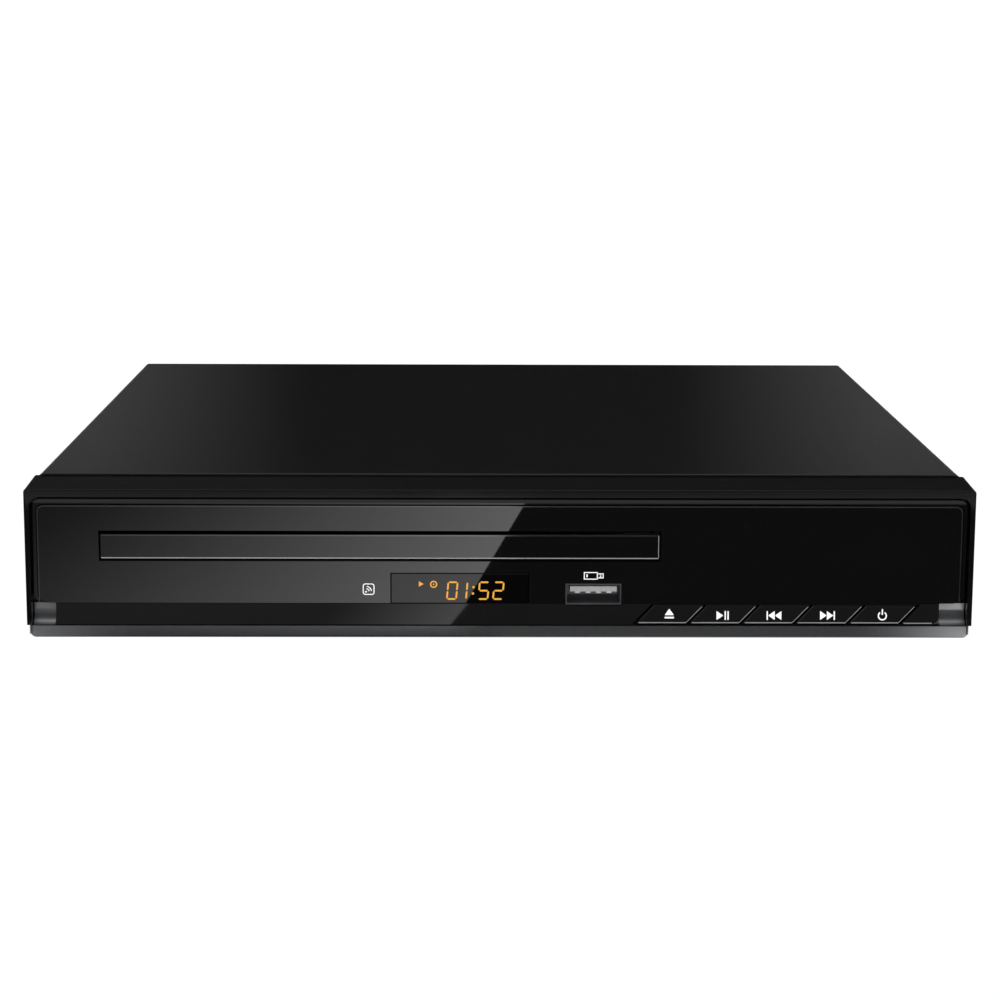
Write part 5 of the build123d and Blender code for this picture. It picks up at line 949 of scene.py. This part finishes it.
@dataclass
class KeyRow:
    """Five slanted keys along the fascia, with their printed signs and painted highlights along their edges.

    Attributes:
        lean: How far the faces run back for each millimetre of height.
        chamfer: Height of the chamfer along a key's foot, in millimetres.
        line: Line width of the signs.
        edge: Width of the painted highlight line.
        margin: Strip of a key outside its painted highlight.
        proud: How far the keys stand before the fascia.
        fascia_gap: Gap between the last key's foot and the painted highlight on the fascia's end.
        fascia_round: Round of the fascia's lower right corner.
        signs: Sign of each key, with its middle from the key's lower left corner, across and up.
    """

    lean: float = 0.15779
    chamfer: float = 0.0988
    line: float = 0.3
    edge: float = 0.24
    margin: float = 0.04
    proud: float = 0.25
    fascia_gap: float = 1.25
    fascia_round: float = 1.7
    signs: tuple[tuple[KeySign, float, float], ...] = (
        (KeySign.EJECT, 7.8, 2.08),
        (KeySign.PLAY_PAUSE, 7.86, 1.85),
        (KeySign.PREVIOUS, 7.57, 1.86),
        (KeySign.NEXT, 7.4, 1.88),
        (KeySign.POWER, 7.96, 2.01),
    )

    def face(self, key: str, across: float = 0.0, up: float = 0.0) -> Matrix:
        """Returns a key's leaning plane about a point, in millimetres from its lower left corner."""
        low = solid_box(key)[0]
        return facing_front(low.x + across, low.y + self.lean * (up - self.chamfer), low.z + up, self.lean)

    def build(self) -> None:
        """Dresses each key and the fascia's end."""
        for sign, across, up in self.signs:
            key, body = sign.key, f"{sign.key}_body"
            place = self.face(key, across, up)
            print_piece(f"{sign.value}_sign", sign.outlines(self.line), place, PRINTED_WHITE, body)
            # Painted highlight: pale grey strip along each key's foot and right side.
            print_piece(f"{key}_edge", self.key_painted_highlight(key), self.face(key), BRIGHT_PAINTED_HIGHLIGHT, body)
        self.finish_fascia()

    @staticmethod
    def foot_and_rise(key: str) -> Point:
        """Returns the length of a key's foot, and its height, which is also how far it leans right."""
        low, high = solid_box(key)
        rise = high.z - low.z
        return high.x - low.x - rise, rise

    def key_painted_highlight(self, key: str) -> list[Outline]:
        """Returns the painted highlight along a key's foot and right side, from its lower left corner."""
        foot, rise = self.foot_and_rise(key)
        inset = self.margin + self.edge / 2
        right, top = foot - inset * 2 ** 0.5, rise - inset
        edge = band([(3 * inset, inset), (right + inset, inset)], self.edge)
        return edge + band([(right + 1.5 * inset, 1.5 * inset), (right + top, top)], 0.6 * self.edge)

    def finish_fascia(self) -> None:
        """Carries the painted highlight on to the fascia's end, and lays the trim round its lower corner."""
        last_key = self.signs[-1][0].key
        plane = Matrix.Translation(mm(0.0, self.proud, 0.0)) @ self.face(last_key)
        stop = solid_box("key_fascia")[1].x - solid_box(last_key)[0].x
        start, turn, foot = self.foot_and_rise(last_key)[0] + self.fascia_gap, self.fascia_round, -0.1
        edge = band([(start, 0.0), (stop - turn, 0.0)], self.edge)
        # Painted highlight: pale grey strip carried on to the fascia's end.
        print_piece("fascia_end_painted_highlight", edge, plane, BRIGHT_PAINTED_HIGHLIGHT, "case_body")
        bend = arc(turn, -90.0, 0.0, 8, stop - turn, turn + foot)
        corner = [[(stop, foot), before, after] for before, after in zip(bend, bend[1:])]
        print_piece("trim_corner", corner, plane, GUNMETAL_LACQUER, "case_body")


@dataclass
class ClockDisplay:
    """Lit clock behind the smoked lens: four slanted digits, a colon and two small signs.

    Attributes:
        drop: How far the digits' middle lies below the lens's, in millimetres.
        digit_height: Height of a digit.
        digit_width: Width of a digit.
        stroke: Width of a bar.
        bar_gap: How much shorter an upright and a level bar are than their runs.
        sunk: How far the bars are let into the lens.
        slant: Lean of the digits in degrees.
        columns: Digit of each place, and how far it lies from the lens's middle.
        colon_x: How far the colon lies from the lens's middle.
        dot: Side of the colon's dots.
        dot_z: How far the dots lie above the digits' middle.
        signs: How far the running sign and the disc sign lie from the lens's middle, across and up.
        running_size: Length and breadth of the running sign.
        disc_radius: Radius of the disc sign's ring, and of its hub.
        disc_line: Line width of the ring.
    """

    BARS: ClassVar[dict[str, str]] = {"0": "abcdef", "1": "il", "2": "abged", "5": "afgcd"}

    drop: float = 0.55
    digit_height: float = 4.1
    digit_width: float = 2.2
    stroke: float = 0.4
    bar_gap: Point = (0.16, 0.2)
    sunk: float = 0.01
    slant: float = 5.0
    columns: tuple[tuple[str, float], ...] = (("0", -1.77), ("1", 1.69), ("5", 5.71), ("2", 9.22))
    colon_x: float = 3.21
    dot: float = 0.5
    dot_z: Point = (0.85, -0.7)
    signs: tuple[Point, Point] = ((-9.13, 1.05), (-6.19, 0.98))
    running_size: Point = (1.15, 1.3)
    disc_radius: Point = (0.72, 0.2)
    disc_line: float = 0.3

    @staticmethod
    def origin() -> Vector:
        """Returns the middle of the lens's front, in millimetres."""
        middle = solid_middle("display_lens")
        return Vector((middle.x, solid_box("display_lens")[0].y, middle.z))

    def bar_points(self) -> tuple[list[Placing], list[Placing]]:
        """Sets out the lit bars.

        Returns:
            Places and turns of the upright bars, and of the level ones.
        """
        half, side, lean = self.digit_height / 4, self.digit_width / 2, radians(self.slant)
        spots = {
            "a": (0.0, 2 * half, False), "g": (0.0, 0.0, False), "d": (0.0, -2 * half, False),
            "f": (-side, half, True), "b": (side, half, True), "i": (0.0, half, True),
            "e": (-side, -half, True), "c": (side, -half, True), "l": (0.0, -half, True),
        }
        uprights: list[Placing] = []
        levels: list[Placing] = []
        for digit, middle in self.columns:
            for letter in self.BARS[digit]:
                x, z, tall = spots[letter]
                place = self.origin() + Vector((middle + x + z * sin(lean), self.sunk, z - self.drop))
                turn = (pi / 2, pi / 2 + lean, 0.0) if tall else (pi / 2, 0.0, 0.0)
                (uprights if tall else levels).append((mm(*place), turn))
        return uprights, levels

    def build(self) -> None:
        """Lights the bars, the colon and the signs."""
        bars = segment_tree()
        tall, wide = self.digit_height / 2 - self.bar_gap[0], self.digit_width - self.bar_gap[1]
        names = ("clock_upright_bars", "clock_level_bars")
        for name, points, length in zip(names, self.bar_points(), (tall, wide)):
            sizes = {"Length": length, "Width": self.stroke, "Depth": INK_MM}
            bars.grow(name, points, sizes, AMBER_PHOSPHOR, "case_body")
        lean = sin(radians(self.slant))
        dots = [bar(self.colon_x + z * lean, z - self.drop, self.dot, self.dot) for z in self.dot_z]
        (running, disc), (ring, hub) = self.signs, self.disc_radius
        dots.append(wedge(*running, *self.running_size, 0.0))
        dots += band(arc(ring, 0.0, 345.0, 23, *disc), self.disc_line, closed=True)
        dots.append(arc(hub, 0.0, 315.0, 7, *disc))
        print_piece("clock_signs", dots, facing_front(*self.origin()), AMBER_PHOSPHOR, "case_body")


@dataclass
class CoverScrews:
    """Pan-head screws that hold the cover.

    Attributes:
        side_y: Places along each side, in millimetres.
        side_z: Height of the side screws.
        rear_x: Places along the rear flange.
        rear_z: Height of the rear screws.
        radius: Radius of a head.
        height: Height of a head.
        slot: Width of the recess's arms.
        reach: Length of the arms.
        depth: Height of the cutter, half of it in the head.
        side_spin: Turn of a side head for each millimetre along the side, so that no two look alike.
        rear_spin: The same along the rear.
    """

    side_y: Point = (-47.0, 52.0)
    side_z: float = 10.9
    rear_x: tuple[float, ...] = (-80.0, 0.0, 80.0)
    rear_z: float = 38.15
    radius: float = 2.15
    height: float = 0.98
    slot: float = 0.55
    reach: float = 2.3
    depth: float = 1.1
    side_spin: float = 0.35
    rear_spin: float = 0.02

    @staticmethod
    def side_turn(side: int, spin: float) -> tuple[float, float, float]:
        """Returns the turn of a head that faces out of a side, spun about its own axis."""
        turn = Matrix.Rotation(spin, 3, "X") @ Matrix.Rotation(side * pi / 2, 3, "Y")
        return tuple(turn.to_euler())

    def build(self) -> None:
        """Sets one head at each hole."""
        cover = solid_box("top_cover")[1]
        side_x, rear_y = cover.x + self.height / 2, cover.y + self.height / 2
        points = [
            (mm(side * side_x, y, self.side_z), self.side_turn(side, self.side_spin * y))
            for side in (-1, 1)
            for y in self.side_y
        ]
        for x in self.rear_x:
            points.append((mm(x, rear_y, self.rear_z), (-pi / 2, self.rear_spin * x, 0.0)))
        sizes = {
            "Radius": self.radius, "Height": self.height,
            "Slot": self.slot, "Reach": self.reach, "Depth": self.depth,
        }
        heads = screw_tree().grow("cover_screw_heads", points, sizes, BLACK_OXIDE, "case_body")
        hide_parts("cover_screws")


@dataclass
class ContactRow:
    """One row of spring contacts in a rear socket.

    Attributes:
        count: Contacts in the row.
        pitch: Distance between them, in millimetres.
        rise: Height of the row from the middle of the solid that holds it.
        depth: How far the contacts' middle lies inside the solid's rear.
    """

    count: int
    pitch: float
    rise: float
    depth: float

    def points(self, holder: str) -> list[Placing]:
        """Sets out the row.

        Args:
            holder: Solid that holds the contacts.

        Returns:
            Place and turn of each contact.
        """
        middle, rear = solid_middle(holder), solid_box(holder)[1].y
        first, y, z = middle.x - self.pitch * (self.count - 1) / 2, rear - self.depth, middle.z + self.rise
        return [(mm(first + k * self.pitch, y, z), (-pi / 2, 0.0, 0.0)) for k in range(self.count)]


@dataclass
class RearSockets:
    """Spring contacts in the rear sockets.

    Attributes:
        av_rows: Rows of the wide audio and video socket.
        av_blade: Sizes of its contacts, in millimetres.
        video_rows: Rows under and on the flat video socket's tongue.
        video_blade: Sizes of its contacts.
    """

    av_rows: tuple[ContactRow, ...] = (ContactRow(10, 3.81, -1.95, 4.0), ContactRow(10, 3.81, 1.95, 4.0))
    av_blade: tuple[float, ...] = (0.45, 2.4, 4.0, 0.8)
    video_rows: tuple[ContactRow, ...] = (ContactRow(9, 0.98, -0.85, 3.8), ContactRow(10, 0.98, 0.85, 3.8))
    video_blade: tuple[float, ...] = (0.5, 0.14, 6.2, 0.4)

    def build(self) -> None:
        """Sets the contacts of both sockets."""
        blades = blade_tree()
        for name, holder, rows, blade in (
            ("av_socket_blades", "av_socket", self.av_rows, self.av_blade),
            ("video_socket_contacts", "video_socket_tongue", self.video_rows, self.video_blade),
        ):
            points = [point for row in rows for point in row.points(holder)]
            blades.grow(name, points, dict(zip(BLADE_SIZES, blade)), GOLD_FLASH, "case_body")


@dataclass(frozen=True)
class LightCard(Surface):
    """Soft card that only the gloss sees, as a studio flag or reflector is set.

    Attributes:
        name: Name of the card.
        corners: Four corners in metres.
        along: Direction of the card's fall of light.
        start: Where the fall starts, in metres along that direction.
        stop: Where it stops.
        low: Light at the start.
        high: Light at the stop.
        curve: Power of the fall.
        beyond: Light past the stop.
        mirrored: Whether the fall is the same on both sides.
    """

    name: str
    corners: tuple[Spot, ...]
    along: Spot
    start: float
    stop: float
    low: float
    high: float
    curve: float = 1.0
    beyond: float = 0.0
    mirrored: bool = False

    def shader(self, tree: NodeTree, place: Socket) -> Socket:
        """Lets the light fall off along the card; see Surface.shader."""
        dot = {0: place, 1: self.along}
        way = add_node(tree, "ShaderNodeVectorMath", dot, operation="DOT_PRODUCT").outputs["Value"]
        if self.mirrored:
            way = add_node(tree, "ShaderNodeMath", {0: way}, operation="ABSOLUTE").outputs[0]
        fall = add_node(tree, "ShaderNodeMapRange", {0: way, 1: self.start, 2: self.stop}).outputs[0]
        bent = add_node(tree, "ShaderNodeMath", {0: fall, 1: self.curve}, operation="POWER").outputs[0]
        light = add_node(tree, "ShaderNodeMapRange", {0: bent, 3: self.low, 4: self.high}).outputs[0]
        past = add_node(tree, "ShaderNodeMath", {0: way, 1: self.stop}, operation="GREATER_THAN").outputs[0]
        power = add_node(tree, "ShaderNodeMix", {0: past, 2: light, 3: self.beyond}).outputs[0]
        return add_node(tree, "ShaderNodeEmission", {"Strength": power}).outputs[0]

    def build(self) -> None:
        """Hangs the card where only reflections show it."""
        mesh = bpy.data.meshes.new(self.name)
        mesh.from_pydata(self.corners, [], [tuple(range(len(self.corners)))])
        mesh.materials.append(self.material())
        card = link(self.name, mesh)
        card.visible_camera = card.visible_diffuse = card.visible_shadow = card.visible_transmission = False


# Edges of the floor strips before the player, in metres: each strip is what one part of the front mirrors.
LIP, KEY_GAP, FASCIA, RIM, VISOR, FLOOR_END = -0.1005, -0.128, -0.136, -0.2685, -0.284, -0.8
FLOOR_CARD_Z, CHEEK_CARD_Z = 0.0004, 0.0008
FRONT_WALL, BACK_WALL, CEILING = -0.85, 0.30, 1.6
# Heights where the cards before and behind the player meet.
FRONT_SPLIT, BACK_SPLIT, LID = 0.13, 0.142, 0.0415
RIGHT, LEFT, FORWARD, UP = (1.0, 0.0, 0.0), (-1.0, 0.0, 0.0), (0.0, -1.0, 0.0), (0.0, 0.0, 1.0)


def level(left: float, right: float, near: float, far: float, z: float = FLOOR_CARD_Z) -> tuple[Spot, ...]:
    """Returns the corners of a card that lies level, in metres."""
    return (left, near, z), (right, near, z), (right, far, z), (left, far, z)


def upright(half: float, y: float, low: float, high: float) -> tuple[Spot, ...]:
    """Returns the corners of a card that stands across the view, in metres."""
    return (-half, y, low), (half, y, low), (half, y, high), (-half, y, high)


class Studio:
    """Pale lit sweep, soft light and the camera of the photograph."""

    CAMERA_MM: ClassVar[Spot] = (-7.0304, -621.1205, 147.236)
    YAW: ClassVar[float] = 0.0128
    PITCH: ClassVar[float] = 0.1629
    ROLL: ClassVar[float] = 0.0044
    LENS: ClassVar[float] = 81.2088
    SENSOR: ClassVar[float] = 36.0
    SHIFT: ClassVar[float] = -0.1
    NEAREST: ClassVar[float] = 0.01
    AIR: ClassVar[float] = 0.35
    TABLE_GLOW: ClassVar[float] = 1.08
    TABLE_RADIUS: ClassVar[float] = 4.0
    TABLE_BEND: ClassVar[float] = 2.0
    TABLE_RISE: ClassVar[float] = 5.0
    TABLE_TURNS: ClassVar[int] = 48
    CARDS: ClassVar[tuple[LightCard, ...]] = (
        LightCard(
            "lip_left_card", level(-0.4, 0.0, LIP, KEY_GAP), LEFT,
            start=0.085, stop=0.117, low=0.03, high=1.0, curve=2.0, beyond=0.1,
        ),
        LightCard(
            "lip_right_card", level(0.0, 0.4, LIP, KEY_GAP), RIGHT,
            start=0.085, stop=0.117, low=0.13, high=2.6, curve=2.0, beyond=0.1,
        ),
        LightCard(
            "key_gap_card", level(-0.4, 0.4, KEY_GAP, FASCIA), RIGHT, start=-0.4, stop=0.4, low=0.1, high=0.1
        ),
        LightCard(
            "front_floor_card", level(-0.4, 0.4, FASCIA, RIM), (1.0, 0.1463, 0.0),
            start=-0.180, stop=-0.0296, low=0.2, high=2.7, curve=1.6, beyond=0.07,
        ),
        LightCard(
            "left_cheek_card",
            (
                (-0.1168, KEY_GAP, CHEEK_CARD_Z), (-0.4, KEY_GAP, CHEEK_CARD_Z),
                (-0.4, RIM, CHEEK_CARD_Z), (-0.1443, RIM, CHEEK_CARD_Z),
            ),
            FORWARD, start=0.13, stop=0.26, low=0.0, high=0.04, beyond=0.04,
        ),
        LightCard(
            "rim_card", level(-0.5, 0.5, RIM, VISOR), FORWARD,
            start=0.272, stop=0.284, low=0.7, high=0.5, beyond=0.5,
        ),
        LightCard(
            "visor_face_card", level(-0.5, 0.5, VISOR, FLOOR_END), RIGHT,
            start=0.05, stop=0.15, low=0.17, high=0.36, beyond=0.36, mirrored=True,
        ),
        LightCard(
            "front_low_card", upright(1.5, FRONT_WALL, 0.0, FRONT_SPLIT), (1.0, 0.0, -0.824),
            start=-0.1315, stop=-0.0562, low=0.27, high=1.5, curve=1.3, beyond=0.18,
        ),
        LightCard(
            "front_high_card", upright(2.5, FRONT_WALL, FRONT_SPLIT, 2.6), UP,
            start=0.7, stop=1.55, low=0.13, high=1.3, curve=1.5, beyond=1.3,
        ),
        LightCard(
            "visor_flag", upright(1.6, BACK_WALL, BACK_SPLIT, CEILING), LEFT,
            start=0.02, stop=0.14, low=0.027, high=0.04, beyond=0.04,
        ),
        LightCard(
            "back_flag", upright(1.6, BACK_WALL, LID, BACK_SPLIT), RIGHT,
            start=0.075, stop=0.165, low=0.01, high=0.125, curve=1.2, beyond=0.125, mirrored=True,
        ),
        LightCard(
            "overhead_flag", level(-2.5, 2.5, BACK_WALL, FRONT_WALL, CEILING), FORWARD,
            start=0.2, stop=0.6, low=0.3, high=1.3, beyond=1.3,
        ),
    )
    LAMP_PLACE: ClassVar[Spot] = (0.0, 0.5, 2.4)
    LAMP_AIM: ClassVar[Spot] = (0.0, 0.3, 0.0)
    LAMP_SIDE: ClassVar[float] = 2.6
    LAMP_WATTS: ClassVar[float] = 70.0

    def build(self) -> None:
        """Sets the camera, the sweep, the cards, the lamp and the colour management."""
        self.camera()
        self.sweep()
        for card in self.CARDS:
            card.build()
        self.lamp()
        scene = bpy.context.scene
        scene.view_settings.view_transform = "Standard"
        scene.view_settings.look = "None"

    def camera(self) -> None:
        """Places the camera as fitted to the photograph's corners."""
        flat = cos(self.PITCH)
        ahead = Vector((sin(self.YAW) * flat, cos(self.YAW) * flat, -sin(self.PITCH)))
        sideways = Vector((cos(self.YAW), -sin(self.YAW), 0.0))
        raised = sideways.cross(ahead)
        right = sideways * cos(self.ROLL) + raised * sin(self.ROLL)
        upward = raised * cos(self.ROLL) - sideways * sin(self.ROLL)
        data = bpy.data.cameras.new("photo_camera")
        data.lens = self.LENS
        data.sensor_width = self.SENSOR
        data.shift_y = self.SHIFT
        data.clip_start = self.NEAREST
        camera = link("photo_camera", data)
        turn = Matrix((right, upward, -ahead)).transposed().to_4x4()
        camera.matrix_world = Matrix.Translation(Vector(self.CAMERA_MM) * MM) @ turn
        bpy.context.scene.camera = camera

    def lamp(self) -> None:
        """Hangs the soft lamp over the set, where no gloss shows it."""
        data = bpy.data.lights.new("overhead_softbox", "AREA")
        data.shape = "RECTANGLE"
        data.size = data.size_y = self.LAMP_SIDE
        data.energy = self.LAMP_WATTS
        lamp = link("overhead_softbox", data)
        lamp.location = self.LAMP_PLACE
        away = Vector(self.LAMP_PLACE) - Vector(self.LAMP_AIM)
        lamp.rotation_euler = away.to_track_quat("Z", "Y").to_euler()
        lamp.visible_glossy = False

    def sweep(self) -> None:
        """Lays a lit white sweep, level all round the player and rising far off, and sets the air."""
        bend, turns = self.TABLE_BEND, self.TABLE_TURNS
        climb = [radians(step) for step in range(15, 91, 15)]
        ring = [(self.TABLE_RADIUS, 0.0)]
        ring += [(self.TABLE_RADIUS + bend * sin(turn), bend - bend * cos(turn)) for turn in climb]
        ring.append((self.TABLE_RADIUS + bend, self.TABLE_RISE))
        around = [(cos(2 * pi * k / turns), sin(2 * pi * k / turns)) for k in range(turns)]
        shape = bmesh.new()
        rows = [[shape.verts.new((r * x, r * y, z)) for x, y in around] for r, z in ring]
        shape.faces.new(rows[0])
        for low, high in zip(rows, rows[1:]):
            for k in range(turns):
                after = (k + 1) % turns
                shape.faces.new((low[k], low[after], high[after], high[k]))
        mesh = bpy.data.meshes.new("studio_sweep")
        shape.to_mesh(mesh)
        shape.free()
        mesh.polygons.foreach_set("use_smooth", [True] * len(mesh.polygons))
        acrylic = bpy.data.materials.new("backlit_white_acrylic")
        acrylic.use_nodes = True
        skin = acrylic.node_tree.nodes["Principled BSDF"]
        for name, value in (
            ("Base Color", linear("#e8e8e8")), ("Roughness", 0.9), ("Emission Color", linear("#ffffff")),
            ("Emission Strength", self.TABLE_GLOW), ("Specular IOR Level", 0.0),
        ):
            skin.inputs[name].default_value = value
        mesh.materials.append(acrylic)
        table = link("studio_sweep", mesh)
        world = bpy.data.worlds.new("studio_air")
        world.use_nodes = True
        air = world.node_tree.nodes["Background"].inputs
        air["Color"].default_value = linear("#ffffff")
        air["Strength"].default_value = self.AIR
        bpy.context.scene.world = world


def main() -> None:
    """Builds every part of the look."""
    logging.basicConfig(level=logging.INFO, format="%(name)s: %(message)s")
    dress_nodes()
    for assembly in (FrontFace(), KeyRow(), ClockDisplay(), CoverScrews(), RearSockets(), Studio()):
        assembly.build()
        LOG.info("%s built", type(assembly).__name__)


if __name__ == "__main__":
    main()
